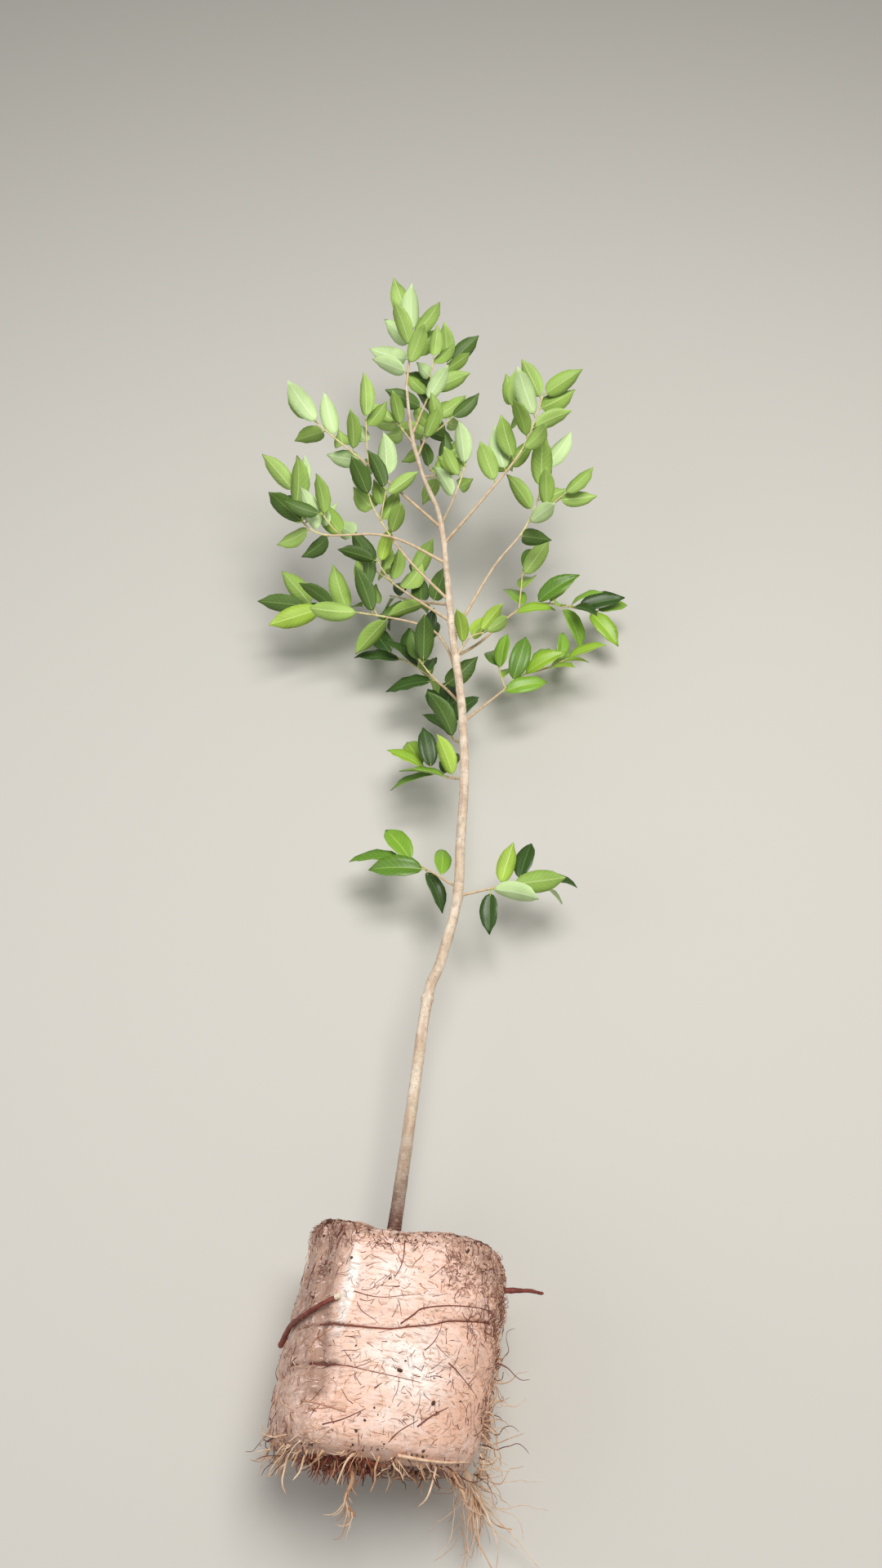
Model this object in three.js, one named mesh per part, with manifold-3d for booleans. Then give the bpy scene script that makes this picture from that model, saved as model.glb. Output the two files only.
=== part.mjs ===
// A young broadleaf evergreen tree, lifted with its root ball in a fabric grow bag and laid on
// its side. The ball's axis and the trunk run along +Y, the plant's tip points to +Y, and +Z is up.
// The origin is the middle of the underside, where the soft ball has settled flat.
// All sizes are in millimetres.

import * as THREE from 'three';
import Module from 'manifold-3d';

const wasm = await Module();
wasm.setup();

// Clearances
const gap = 0.3; // between a piece and the piece that carries it
const floorGap = 3; // lowest part of any leaf, twig or root above the ground

// Root ball: a squat bag of soil on its side
const ball = {
  radius: 103,
  sag: 9, // how far the soft underside is pressed flat
  squareness: 0.03, // share of the radius by which the section bulges at four soft corners
  cornerAngle: 118, // degrees from +X to the corner that shows as the bag's side fold
  sides: 38,
  aside: -1.5, // how far the ball's middle lies beside the origin
  lean: 6, // how far the soil end lies to the right of the middle, and the foot end to the left
  skew: 9, // how far the creases run up the ball from its left side to the middle
  // Distance along the axis and radius, as a share of the full radius, from foot to soil
  profile: [
    [-91, 0], [-92, 0.4], [-90, 0.71], [-85, 0.86], [-76, 0.935], [-61, 0.97], [-42, 0.995],
    [-27, 0.995], [-21, 0.983], [-15, 1], [2, 1.01], [15, 1], [22, 0.972], [29, 0.992],
    [44, 0.995], [62, 0.987], [80, 0.972], [94, 0.945], [99, 0.905], [100, 0.86], [95, 0.82],
    [93, 0.5], [94, 0.2],
  ],
  soilCentre: 95,
  rim: { from: 94, share: 0.85 }, // least distance and share of the rings that make the rim
  // The rim stands up in two flaps: middle and half width in degrees, rise, and share of the radius
  flaps: [
    { angle: 154, width: 48, rise: 11, share: 0.985 },
    { angle: 48, width: 40, rise: 6, share: 0.93 },
  ],
};
const ballHeight = ball.radius - ball.sag; // height of the ball's axis

// Trunk: its way from the soil to the leader, and its radius by distance from the soil
const trunk = {
  way: [
    [-13, 88, ballHeight], [-11, 183, 97], [-10, 260, 102], [-8, 379, 110], [2, 425, 114],
    [12, 504, 120], [8, 579, 127], [3, 670, 135], [-12, 777, 145], [-34, 877, 155],
    [-54, 983, 167], [-75, 1079, 177], [-107, 1150, 185], [-133, 1229, 194], [-152, 1320, 205],
  ],
  girth: [
    [0, 9.6], [16, 7.9], [60, 6.9], [200, 6.1], [284, 6.1], [290, 7.1], [297, 6], [510, 5.8],
    [720, 5.2], [850, 4.4], [905, 4], [985, 3.6], [1120, 2.9], [1240, 2.1],
  ],
  sides: 10,
  step: 26,
};

// A limb leaves the trunk at a distance from the soil and follows its way, given from that point.
// bare: share of its length without leaves; a long bare share makes a bough of its own
// thick: radius at its foot
// leaves: leaves on the main stem, with one more at its tip
// twigs: side shoots with leaves of their own
// size: length of a leaf blade
// hanging: an older leaf that hangs back from the stem, at a distance along it, and its direction
const limbs = [
  { name: 'left_low_shoot', at: 432, way: [[-46, 44, -34], [-74, 62, -46]],
    thick: 1.7, bare: 0.15, leaves: 3, twigs: 0, size: 62, seed: 265,
    hanging: { at: 72, toward: [0.5, -0.84, -0.2] } },
  { name: 'right_low_shoot', at: 422, way: [[42, 28, -20], [86, 54, -36]],
    thick: 1.8, bare: 0.3, leaves: 5, twigs: 0, size: 58, seed: 372,
    hanging: { at: 48, toward: [0.06, -0.97, -0.22] } },
  { name: 'left_lower', at: 580, way: [[-28, 28, -36], [-58, 58, -62]],
    thick: 1.9, bare: 0.12, leaves: 6, twigs: 0, size: 56, seed: 319 },
  { name: 'right_lower', at: 664, way: [[28, 72, -44], [76, 158, -78], [112, 184, -92]],
    thick: 2.2, bare: 0.42, leaves: 5, twigs: 2, size: 64, seed: 135 },
  { name: 'under_lower', at: 632, way: [[-18, 34, -34], [-34, 96, -68]],
    thick: 1.8, bare: 0.15, leaves: 4, twigs: 0, size: 62, seed: 620 },
  { name: 'under_left', at: 690, way: [[-32, 62, -40], [-82, 128, -80], [-122, 154, -92]],
    thick: 2.2, bare: 0.25, leaves: 7, twigs: 2, size: 66, seed: 113 },
  { name: 'left_middle', at: 716, way: [[-28, 80, -10], [-70, 120, -18], [-186, 150, -36],
    [-232, 155, -40]],
    thick: 2.3, bare: 0.55, leaves: 7, twigs: 2, size: 68, seed: 560 },
  { name: 'right_middle', at: 766, way: [[26, 60, -38], [90, 176, -78], [184, 186, -92]],
    thick: 2.4, bare: 0.5, leaves: 7, twigs: 2, size: 62, seed: 816 },
  { name: 'right_long', at: 798, way: [[42, 116, 14], [78, 172, 34], [95, 222, 54],
    [98, 270, 68]],
    thick: 2.3, bare: 0.56, leaves: 7, twigs: 1, size: 61, seed: 466 },
  { name: 'right_bright', at: 764, way: [[16, 30, 8], [34, 36, 14]],
    thick: 1.5, bare: 0.1, leaves: 3, twigs: 0, size: 52, seed: 80 },
  { name: 'left_inner', at: 822, way: [[-72, 70, -24], [-128, 122, -34]],
    thick: 2.3, bare: 0.5, leaves: 4, twigs: 1, size: 62, seed: 202 },
  { name: 'under_middle', at: 850, way: [[-48, 44, -46], [-92, 78, -76]],
    thick: 2.2, bare: 0.2, leaves: 8, twigs: 2, size: 62, seed: 21 },
  { name: 'left_upper', at: 856, way: [[-66, 66, 8], [-112, 112, 38], [-130, 142, 54]],
    thick: 2.2, bare: 0.56, leaves: 4, twigs: 1, size: 56, seed: 638 },
  { name: 'left_long', at: 920, way: [[-58, 22, 12], [-100, 22, 22], [-172, 12, 24], [-212, 48, 22],
    [-222, 88, 26]],
    thick: 2.3, bare: 0.42, leaves: 10, twigs: 2, size: 63, seed: 1492 },
  { name: 'right_upper', at: 954, way: [[44, 40, 42], [90, 100, 77], [106, 138, 97],
    [117, 190, 112]],
    thick: 2.4, bare: 0.35, leaves: 9, twigs: 2, size: 63, seed: 609 },
  { name: 'right_spur', at: 988, way: [[16, 22, 34], [26, 64, 52]],
    thick: 1.8, bare: 0.3, leaves: 4, twigs: 0, size: 52, seed: 767 },
  { name: 'left_top', at: 982, way: [[-80, 34, 48], [-160, 80, 78], [-190, 102, 86]],
    thick: 2.4, bare: 0.36, leaves: 8, twigs: 1, size: 63, seed: 106 },
  { name: 'under_top', at: 1080, way: [[22, 52, -40], [30, 98, -56]],
    thick: 2, bare: 0.15, leaves: 6, twigs: 1, size: 56, seed: 27 },
  { name: 'back_upper', at: 1118, way: [[8, 88, -18], [16, 130, -20]],
    thick: 2, bare: 0.15, leaves: 8, twigs: 1, size: 54, seed: 485 },
  { name: 'left_spur', at: 1142, way: [[-18, 22, 6], [-30, 38, 8]],
    thick: 1.5, bare: 0.3, leaves: 3, twigs: 0, size: 52, seed: 600 },
  { name: 'back_top', at: 1162, way: [[16, 132, -14], [36, 180, -6]],
    thick: 2.1, bare: 0.3, leaves: 8, twigs: 1, size: 54, seed: 1069 },
];

// The leader goes on from the end of the trunk
const leader = { name: 'leader', way: [[-3, 64, 6], [-5, 128, 14]],
  thick: 2.2, bare: 0.1, leaves: 9, twigs: 0, size: 66, seed: 1389 };

const boughShare = 0.34; // a limb that is bare for more than this has a bough
const stemTip = 1; // radius at the end of a limb's main stem

// Leaf: an ellipse drawn out to a drip tip, folded along its midrib and arched back
const leaf = {
  width: 0.44, // share of the blade's length
  petiole: 6,
  petioleRadius: 0.8,
  thick: 0.8,
  stations: [0.24, 0.66], // shares of the blade's length
};

// How leaves stand on their stem, in degrees
const posture = {
  spread: 52, // from the stem's direction, near its foot
  closing: 18, // less than that near the tip
  lift: 30, // from the stem's side towards the plant's tip
  spiral: 137.5, // turn from leaf to leaf on an upright stem
  jitter: 30,
  upright: 21.5, // a stem that starts closer than this to the trunk's direction is upright
  lying: 100, // stems and leaves below this height have been turned by the ground
  fold: 16,
  arch: 34,
  turns: [0, 24, -24, 48, -48, 72, -72, 100, -100, 130, -130, 160],
};

// Room that a leaf needs
const room = {
  own: 6.5, // from leaves of its own mass
  others: 10, // from leaves of other masses
  limb: 4.5, // beyond a limb's radius
};

// Twigs that leave the main stem of a limb
const twig = {
  length: [34, 62], radius: 1.2, tip: 0.9, spread: 48, jitter: 70,
  bend: 0.12, // rise of the tip towards the plant's tip, as a share of the length
  clear: 12, // height of a tip above the lowest leaf
  region: 0.8, // share of the leafy stem that carries twigs
  bare: 0.3, // share of a twig's own length without leaves
  leaves: 2,
  leafShare: 0.9, // leaf size as a share of the limb's
  meanRadius: 0.8, // mean radius of a limb as a share of its thick
};

// Woody roots that lie over the bag: angle round the ball from +X, distance along its axis
const cutRoot = {
  thick: 3.4, thin: 2.4,
  way: [[178, 12], [170, 19], [161, 24], [148, 25], [137, 27], [126, 32], [117, 37]],
};
const stub = {
  thick: 3, thin: 1.5, angle: 14, along: 69,
  way: [[12, 1, 1], [26, 4, -6], [40, 6, -18]],
};

// Fine roots that hang out at the foot of the bag
const fringe = {
  ring: 1.8, share: 0.8, along: -89.8, from: -24, to: 204, strands: 16,
  length: [14, 44], thick: 1.3, thin: 0.6, seed: 5,
};
const tuft = {
  angle: -14, along: -82, clear: 2.1, neck: [[7, -8, -6], [12, -18, -14]], thick: 3.2, strands: 9,
  swing: [-112, -28], length: [48, 96], strandThick: 1.3, strandThin: 0.6, seed: 9,
};

const axisUp = new THREE.Vector3(0, 1, 0); // the way that the plant grew
const light = new THREE.Vector3(0, 0.72, -0.69); // the way that its leaves face
const pressed = new THREE.Vector3(0, 0.3, 0.95); // the way that leaves lying on the ground face
const radians = THREE.MathUtils.degToRad;
const vector = (point) => new THREE.Vector3(...point);

function random(seed) {
  let state = seed >>> 0;
  return () => {
    state = (state + 0x6d2b79f5) >>> 0;
    let mixed = Math.imul(state ^ (state >>> 15), state | 1);
    mixed ^= mixed + Math.imul(mixed ^ (mixed >>> 7), mixed | 61);
    return ((mixed ^ (mixed >>> 14)) >>> 0) / 4294967296;
  };
}

// Linear reading of a list of [position, value] pairs
function reading(pairs, position) {
  const after = pairs.findIndex((pair) => pair[0] >= position);
  if (after < 0) return pairs[pairs.length - 1][1];
  if (after === 0) return pairs[0][1];
  const [x0, y0] = pairs[after - 1];
  const [x1, y1] = pairs[after];
  return y0 + (y1 - y0) * (position - x0) / (x1 - x0);
}

// A smooth way through points, read by distance from its start
class Way {
  constructor(points, pieces = 24) {
    const curve = new THREE.CatmullRomCurve3(points, false, 'catmullrom', 0.5);
    const count = pieces * (points.length - 1);
    this.points = Array.from({ length: count + 1 }, (_, i) => curve.getPoint(i / count));
    this.reach = [0];
    for (let i = 1; i <= count; i += 1) {
      this.reach.push(this.reach[i - 1] + this.points[i].distanceTo(this.points[i - 1]));
    }
    this.length = this.reach[count];
  }

  segment(distance) {
    const last = this.points.length - 2;
    let i = 0;
    while (i < last && this.reach[i + 1] < distance) i += 1;
    return i;
  }

  at(distance) {
    const i = this.segment(distance);
    const share = (distance - this.reach[i]) / (this.reach[i + 1] - this.reach[i]);
    return this.points[i].clone().lerp(this.points[i + 1], share);
  }

  heading(distance) {
    const i = this.segment(distance);
    return this.points[i + 1].clone().sub(this.points[i]).normalize();
  }
}

function solid(vertices, triangles) {
  const mesh = new wasm.Mesh({
    numProp: 3,
    vertProperties: new Float32Array(vertices),
    triVerts: new Uint32Array(triangles),
  });
  return new wasm.Manifold(mesh);
}

// Joins rings of equal length into a closed body, with a flat cap at each end or a point beyond it
function skin(rings, first = null, last = null) {
  const sides = rings[0].length;
  const end = (rings.length - 1) * sides;
  const vertices = [];
  const triangles = [];
  rings.forEach((ring) => ring.forEach((point) => vertices.push(point.x, point.y, point.z)));
  for (let row = 0; row + 1 < rings.length; row += 1) {
    for (let i = 0; i < sides; i += 1) {
      const a = row * sides + i;
      const b = row * sides + ((i + 1) % sides);
      triangles.push(a, b, b + sides, a, b + sides, a + sides);
    }
  }
  const close = (start, point, turn) => {
    const apex = point ? vertices.length / 3 : start;
    if (point) vertices.push(point.x, point.y, point.z);
    for (let i = point ? 0 : 1; i < (point ? sides : sides - 1); i += 1) {
      const a = start + i;
      const b = start + ((i + 1) % sides);
      triangles.push(apex, ...(turn ? [b, a] : [a, b]));
    }
  };
  close(0, first, true);
  close(end, last, false);
  return solid(vertices, triangles);
}

// A limb of round section along a way, from one distance to another
function limbSolid(way, from, to, radiusAt, sides, step) {
  const count = Math.max(2, Math.ceil((to - from) / step));
  const rings = [];
  let across = null;
  for (let i = 0; i <= count; i += 1) {
    const distance = from + (to - from) * i / count;
    const heading = way.heading(distance);
    if (!across) {
      const guide = Math.abs(heading.z) < 0.8 ? new THREE.Vector3(0, 0, 1) : axisUp;
      across = new THREE.Vector3().crossVectors(guide, heading);
    }
    across = across.addScaledVector(heading, -across.dot(heading)).normalize();
    const other = new THREE.Vector3().crossVectors(heading, across);
    const centre = way.at(distance);
    const radius = radiusAt(distance);
    rings.push(Array.from({ length: sides }, (_, k) => {
      const angle = 2 * Math.PI * k / sides;
      return centre.clone()
        .addScaledVector(across, radius * Math.cos(angle))
        .addScaledVector(other, radius * Math.sin(angle));
    }));
  }
  return skin(rings);
}

function mesh(name, body, colour, roughness) {
  const data = body.getMesh();
  const positions = new Float32Array(data.numVert * 3);
  for (let i = 0; i < data.numVert; i += 1) {
    for (let axis = 0; axis < 3; axis += 1) {
      positions[3 * i + axis] = data.vertProperties[data.numProp * i + axis];
    }
  }
  const geometry = new THREE.BufferGeometry();
  geometry.setAttribute('position', new THREE.BufferAttribute(positions, 3));
  geometry.setIndex(new THREE.BufferAttribute(new Uint32Array(data.triVerts), 1));
  geometry.computeVertexNormals();
  const material = new THREE.MeshStandardMaterial({ color: colour, roughness, metalness: 0 });
  const piece = new THREE.Mesh(geometry, material);
  piece.name = name;
  return piece;
}

// Root ball

// A point of the bag's skin, lifted off it by clear
function onBall(degrees, along, share, clear = 0) {
  const angle = radians(degrees);
  const corner = Math.cos(4 * (angle - radians(ball.cornerAngle)));
  const radius = ball.radius * share * (1 + ball.squareness * corner) + clear;
  const height = ballHeight + radius * Math.sin(angle);
  const toSoil = along / ball.profile[ball.profile.length - 1][0];
  return new THREE.Vector3(
    radius * Math.cos(angle) + ball.aside + ball.lean * toSoil,
    along + ball.skew * Math.cos(angle) * Math.max(0, 1 - toSoil ** 2),
    Math.max(0, height),
  );
}

// A point of the bag's skin, raised where it belongs to a flap of the rim
function onBag(degrees, along, share) {
  const isRim = along >= ball.rim.from && share >= ball.rim.share;
  const flap = isRim && ball.flaps.find(({ angle, width }) => Math.abs(degrees - angle) < width);
  if (!flap) return onBall(degrees, along, share);
  const part = 1 - ((degrees - flap.angle) / flap.width) ** 2;
  return onBall(degrees, along + flap.rise * part, share + (flap.share - share) * part);
}

function rootBall() {
  const [foot] = ball.profile;
  const rings = ball.profile.slice(1).map(([along, share]) => (
    Array.from({ length: ball.sides }, (_, i) => onBag(360 * (1 - i / ball.sides), along, share))
  ));
  const middle = (along) => new THREE.Vector3(0, along, ballHeight);
  return skin(rings, middle(foot[0]), middle(ball.soilCentre));
}

// Trunk

const trunkWay = new Way(trunk.way.map(vector));
const trunkRadius = (distance) => reading(trunk.girth, distance);
const trunkSolid = (extra = 0) => limbSolid(
  trunkWay, -extra, trunkWay.length + extra, (d) => trunkRadius(d) + extra, trunk.sides, trunk.step,
);

// Growth of a limb: its stems, and the leaves on them

function limbWay(row) {
  const foot = row.at === undefined ? trunkWay.at(trunkWay.length) : trunkWay.at(row.at);
  return new Way([foot, ...row.way.map((point) => vector(point).add(foot))]);
}

const isUpright = (way) => way.heading(0).dot(axisUp) > Math.cos(radians(posture.upright));

// The way that leaves and twigs on a stem rise towards: the plant's tip, or away from the ground
// where the stem lies on it
function guideOf(way) {
  if (isUpright(way)) return new THREE.Vector3(1, 0, 0);
  return way.at(way.length).z < posture.lying ? pressed : axisUp;
}

// The direction that opens by spread degrees from a heading, turned round it from its side
function turned(heading, guide, spread, round) {
  const side = new THREE.Vector3().crossVectors(heading, guide).normalize();
  const lift = new THREE.Vector3().crossVectors(side, heading);
  return heading.clone().multiplyScalar(Math.cos(radians(spread)))
    .addScaledVector(side, Math.sin(radians(spread)) * Math.cos(radians(round)))
    .addScaledVector(lift, Math.sin(radians(spread)) * Math.sin(radians(round)));
}

// Points of a blade by share of its length and of its half width, -1 to 1
function bladePoint(blade, share, across) {
  const turn = blade.arch * share;
  const mean = turn / 2 - blade.arch / 3;
  const distance = blade.length * share;
  const upper = blade.upper;
  const point = blade.foot.clone()
    .addScaledVector(blade.heading, distance * Math.cos(mean))
    .addScaledVector(upper, -distance * Math.sin(mean));
  const local = turn - blade.arch / 3;
  const normal = upper.clone().multiplyScalar(Math.cos(local))
    .addScaledVector(blade.heading, Math.sin(local));
  const half = blade.length * blade.width * 1.31 * share ** 0.62 * (1 - share) ** 0.78;
  return {
    point: point.addScaledVector(blade.side, across * half * Math.cos(blade.fold))
      .addScaledVector(normal, Math.abs(across) * half * Math.sin(blade.fold)),
    normal,
  };
}

function makeBlade(foot, heading, draws, size) {
  const forward = heading.clone().normalize();
  const facing = foot.z + forward.z * size / 2 < posture.lying ? pressed : light;
  const upper = facing.clone().addScaledVector(forward, -facing.dot(forward)).normalize();
  const side = new THREE.Vector3().crossVectors(forward, upper);
  const roll = radians(posture.jitter) * (2 * draws.roll - 1);
  const rolledUpper = upper.clone().multiplyScalar(Math.cos(roll))
    .addScaledVector(side, Math.sin(roll));
  return {
    stem: foot,
    foot: foot.clone().addScaledVector(forward, leaf.petiole),
    heading: forward,
    upper: rolledUpper,
    side: new THREE.Vector3().crossVectors(forward, rolledUpper),
    length: size * (0.84 + 0.28 * draws.size),
    width: leaf.width * (0.92 + 0.16 * draws.width),
    fold: radians(posture.fold) * (0.6 + 0.8 * draws.fold),
    arch: radians(posture.arch) * (0.5 + draws.arch),
  };
}

const sampleShares = [0.05, 0.18, 0.31, 0.44, 0.57, 0.7, 0.83, 0.97];

function bladeSamples(blade) {
  return sampleShares.flatMap((share) => (
    [-0.85, 0, 0.85].map((across) => bladePoint(blade, share, across).point)
  ));
}

function distanceToLine(point, line) {
  let best = Infinity;
  for (let i = 0; i + 1 < line.points.length; i += 1) {
    const a = line.points[i];
    const b = line.points[i + 1];
    const span = b.clone().sub(a);
    const share = THREE.MathUtils.clamp(point.clone().sub(a).dot(span) / span.lengthSq(), 0, 1);
    const distance = point.distanceTo(a.clone().addScaledVector(span, share));
    best = Math.min(best, distance - line.radius);
  }
  return best;
}

const growth = { lines: [], blades: [] };

function isClear(blade, owner, stemLine) {
  const samples = bladeSamples(blade);
  if (samples.some((point) => point.z < floorGap)) return false;
  const centre = samples[Math.floor(samples.length / 2)];
  const crowded = growth.blades.some((other) => {
    if (other.centre.distanceTo(centre) > other.length + blade.length) return false;
    const need = other.owner === owner ? room.own : room.others;
    return other.samples.some((p) => samples.some((q) => p.distanceTo(q) < need));
  });
  if (crowded) return false;
  return growth.lines.every((line) => {
    const tested = line === stemLine ? samples.slice(6) : samples;
    const need = line === stemLine ? room.limb / 2 : room.limb;
    return tested.every((point) => distanceToLine(point, line) > need);
  });
}

function leafDraws(seed) {
  const draw = random(seed);
  return {
    round: draw(), spread: draw(), roll: draw(), size: draw(), width: draw(), fold: draw(),
    arch: draw(),
  };
}

function keepIfClear(blade, owner, stem) {
  if (!isClear(blade, owner, stem.line)) return false;
  blade.owner = owner;
  blade.samples = bladeSamples(blade);
  blade.centre = blade.samples[Math.floor(blade.samples.length / 2)];
  growth.blades.push(blade);
  return true;
}

// Tries a leaf in one posture after another, and leaves it out where none is clear
function addLeaf(stem, distance, round, spread, size, owner, seed) {
  const draws = leafDraws(seed);
  const foot = stem.way.at(distance);
  const heading = stem.way.heading(distance);
  posture.turns.some((turn) => {
    const angle = round + turn + posture.jitter * (2 * draws.round - 1);
    const open = spread + posture.jitter * (draws.spread - 0.5) + Math.abs(turn) / 8;
    const blade = makeBlade(foot, turned(heading, stem.guide, open, angle), draws, size);
    return keepIfClear(blade, owner, stem);
  });
}

function addStemLeaves(stem, first, count, size, owner, seed) {
  for (let i = 0; i < count; i += 1) {
    const share = (i + 0.4) / count;
    const distance = first + (stem.way.length - first) * share ** 0.85;
    const round = stem.upright
      ? posture.spiral * i
      : (i % 2 ? 180 - posture.lift : posture.lift);
    addLeaf(stem, distance, round, posture.spread - posture.closing * share, size, owner,
      seed + 17 * i);
  }
  addLeaf(stem, stem.way.length - 1, 90, 12, size, owner, seed + 7);
}

function stemLine(way, radius) {
  const points = [];
  const count = Math.max(2, Math.ceil(way.length / 14));
  for (let i = 0; i <= count; i += 1) points.push(way.at(way.length * i / count));
  return { points, radius };
}

// Stems grow first, then twigs, then leaves, each clear of what stands already

function growStem(row) {
  const way = limbWay(row);
  const line = stemLine(way, row.thick * twig.meanRadius);
  growth.lines.push(line);
  const stem = { way, upright: isUpright(way), guide: guideOf(way), line };
  return { row, stem, start: row.bare * way.length, twigs: [] };
}

function growTwigs({ row, stem, start, twigs }) {
  const draw = random(row.seed * 1009);
  const { way } = stem;
  const others = growth.lines.filter((line) => line !== stem.line);
  for (let i = 0; i < row.twigs; i += 1) {
    const share = (i + 0.35 + 0.2 * draw()) / row.twigs;
    const distance = start + (way.length - start) * twig.region * share + 4;
    const round = (i % 2 ? posture.lift : 180 - posture.lift) + twig.jitter * (draw() - 0.5);
    const heading = turned(way.heading(distance), stem.guide, twig.spread, round);
    const length = twig.length[0] + (twig.length[1] - twig.length[0]) * draw();
    const foot = way.at(distance);
    const middle = foot.clone().addScaledVector(heading, length / 2);
    const tip = foot.clone().addScaledVector(heading, length)
      .addScaledVector(axisUp, twig.bend * length);
    tip.z = Math.max(tip.z, floorGap + twig.clear);
    const side = new Way([foot, middle, tip], 8);
    const line = stemLine(side, twig.radius);
    const isFree = line.points.every((point) => (
      others.every((other) => distanceToLine(point, other) > room.limb + twig.radius)
    ));
    if (isFree) {
      growth.lines.push(line);
      twigs.push({ way: side, upright: false, guide: guideOf(side), line });
    }
  }
}

function growLeaves({ row, stem, start, twigs }) {
  if (row.hanging) {
    const foot = stem.way.at(row.hanging.at);
    const toward = vector(row.hanging.toward);
    keepIfClear(makeBlade(foot, toward, leafDraws(row.seed * 7001), row.size), row.name, stem);
  }
  twigs.forEach((side, i) => {
    addStemLeaves(side, side.way.length * twig.bare, twig.leaves, row.size * twig.leafShare, row.name,
      row.seed * 5003 + 211 * i);
  });
  addStemLeaves(stem, start + 6, row.leaves, row.size, row.name, row.seed * 3001);
}

// A closed blade: a petiole that starts as a point in its stem, then rings of left edge, upper
// midrib, right edge and lower midrib, then the tip
function leafSolid(blade) {
  const collar = [-1, 1].flatMap((turn) => [
    blade.foot.clone().addScaledVector(blade.side, turn * leaf.petioleRadius),
    blade.foot.clone().addScaledVector(blade.upper, -turn * leaf.petioleRadius),
  ]);
  const rings = leaf.stations.map((share) => {
    const middle = bladePoint(blade, share, 0);
    return [
      bladePoint(blade, share, -1).point,
      middle.point.clone().addScaledVector(middle.normal, leaf.thick / 2),
      bladePoint(blade, share, 1).point,
      middle.point.clone().addScaledVector(middle.normal, -leaf.thick / 2),
    ];
  });
  return skin([collar, ...rings], blade.stem, bladePoint(blade, 1, 0).point);
}

const taperedTo = (way, thick, thin) => (distance) => (
  thick + (thin - thick) * Math.min(1, distance / way.length) ** 0.8
);

const largest = (body) => body.decompose()
  .reduce((best, piece) => (piece.volume() > best.volume() ? piece : best))
  .simplify(0.05);

const group = new THREE.Group();
const colours = {
  bag: 0xd9b39b, bark: 0xb09a80, twig: 0xa8946c, leaf: 0x7fa84a, root: 0x8a4a3a, fibre: 0xc9a487,
};

const roomForTrunk = trunkSolid(gap);
group.add(mesh('root_ball', rootBall().subtract(roomForTrunk), colours.bag, 0.9));
group.add(mesh('trunk', trunkSolid(), colours.bark, 0.75));

growth.lines.push(stemLine(trunkWay, trunkRadius(trunkWay.length / 2)));
const grown = [...limbs, leader].map(growStem);
grown.forEach(growTwigs);
grown.forEach(growLeaves);

grown.forEach(({ row, stem, start, twigs }) => {
  const radiusAt = taperedTo(stem.way, row.thick, stemTip);
  const bough = row.bare > boughShare;
  if (bough) {
    const body = limbSolid(stem.way, 0, start, radiusAt, 7, 20).subtract(roomForTrunk);
    group.add(mesh(`bough_${row.name}`, largest(body), colours.twig, 0.7));
  }
  // The mass meets its bough across a gap, or is cut to clear the trunk
  let mass = limbSolid(stem.way, bough ? start + gap : 0, stem.way.length, radiusAt, 4, 18);
  twigs.forEach(({ way }) => {
    mass = mass.add(limbSolid(way, 0, way.length, taperedTo(way, twig.radius, twig.tip), 3, 20));
  });
  growth.blades.filter((blade) => blade.owner === row.name).forEach((blade) => {
    mass = mass.add(leafSolid(blade));
  });
  if (!bough) mass = mass.subtract(roomForTrunk);
  group.add(mesh(`foliage_${row.name}`, largest(mass), colours.leaf, 0.55));
});

// Roots

const shareAt = (along) => reading(ball.profile.slice(3, -4), along);

// A fine root: it sets out one way, wanders, and sinks towards the ground
function strandWay(foot, heading, length, draw) {
  const points = [foot];
  const steps = 3;
  const going = heading.clone();
  for (let i = 0; i < steps; i += 1) {
    going.add(new THREE.Vector3(draw() - 0.5, draw() - 0.5, draw() - 0.8)).normalize();
    const point = points[i].clone().addScaledVector(going, length / steps);
    point.z = Math.max(point.z, floorGap + 2 * i);
    points.push(point);
  }
  return new Way(points, 6);
}

function strandSolid(way, thick, thin) {
  return limbSolid(way, 0, way.length, taperedTo(way, thick, thin), 3, 14);
}

function cutRootSolid() {
  const clear = cutRoot.thick + gap + 0.5;
  const points = cutRoot.way.map(([degrees, along]) => (
    onBall(degrees, along, shareAt(along), clear)
  ));
  const way = new Way(points, 10);
  return limbSolid(way, 0, way.length, taperedTo(way, cutRoot.thick, cutRoot.thin), 8, 9);
}

function stubSolid() {
  const foot = onBall(stub.angle, stub.along, shareAt(stub.along), gap + 0.1);
  const way = new Way([foot, ...stub.way.map((point) => vector(point).add(foot))], 10);
  return limbSolid(way, 0, way.length, taperedTo(way, stub.thick, stub.thin), 8, 8);
}

function fringeSolid() {
  const draw = random(fringe.seed);
  const turns = 12;
  const points = Array.from({ length: turns + 1 }, (_, i) => (
    onBall(fringe.from + (fringe.to - fringe.from) * i / turns, fringe.along, fringe.share)
  ));
  const ring = new Way(points, 6);
  let body = limbSolid(ring, 0, ring.length, () => fringe.ring, 5, 9);
  for (let i = 0; i < fringe.strands; i += 1) {
    const distance = ring.length * (i + 0.2 + 0.6 * draw()) / fringe.strands;
    const foot = ring.at(distance);
    const outward = new THREE.Vector3(foot.x, 0, foot.z - ballHeight).normalize();
    const heading = outward.multiplyScalar(0.5 * draw());
    heading.y = -1;
    const length = fringe.length[0] + (fringe.length[1] - fringe.length[0]) * draw() ** 2;
    const way = strandWay(foot, heading, length, draw);
    body = body.add(strandSolid(way, fringe.thick, fringe.thin));
  }
  return largest(body);
}

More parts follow.
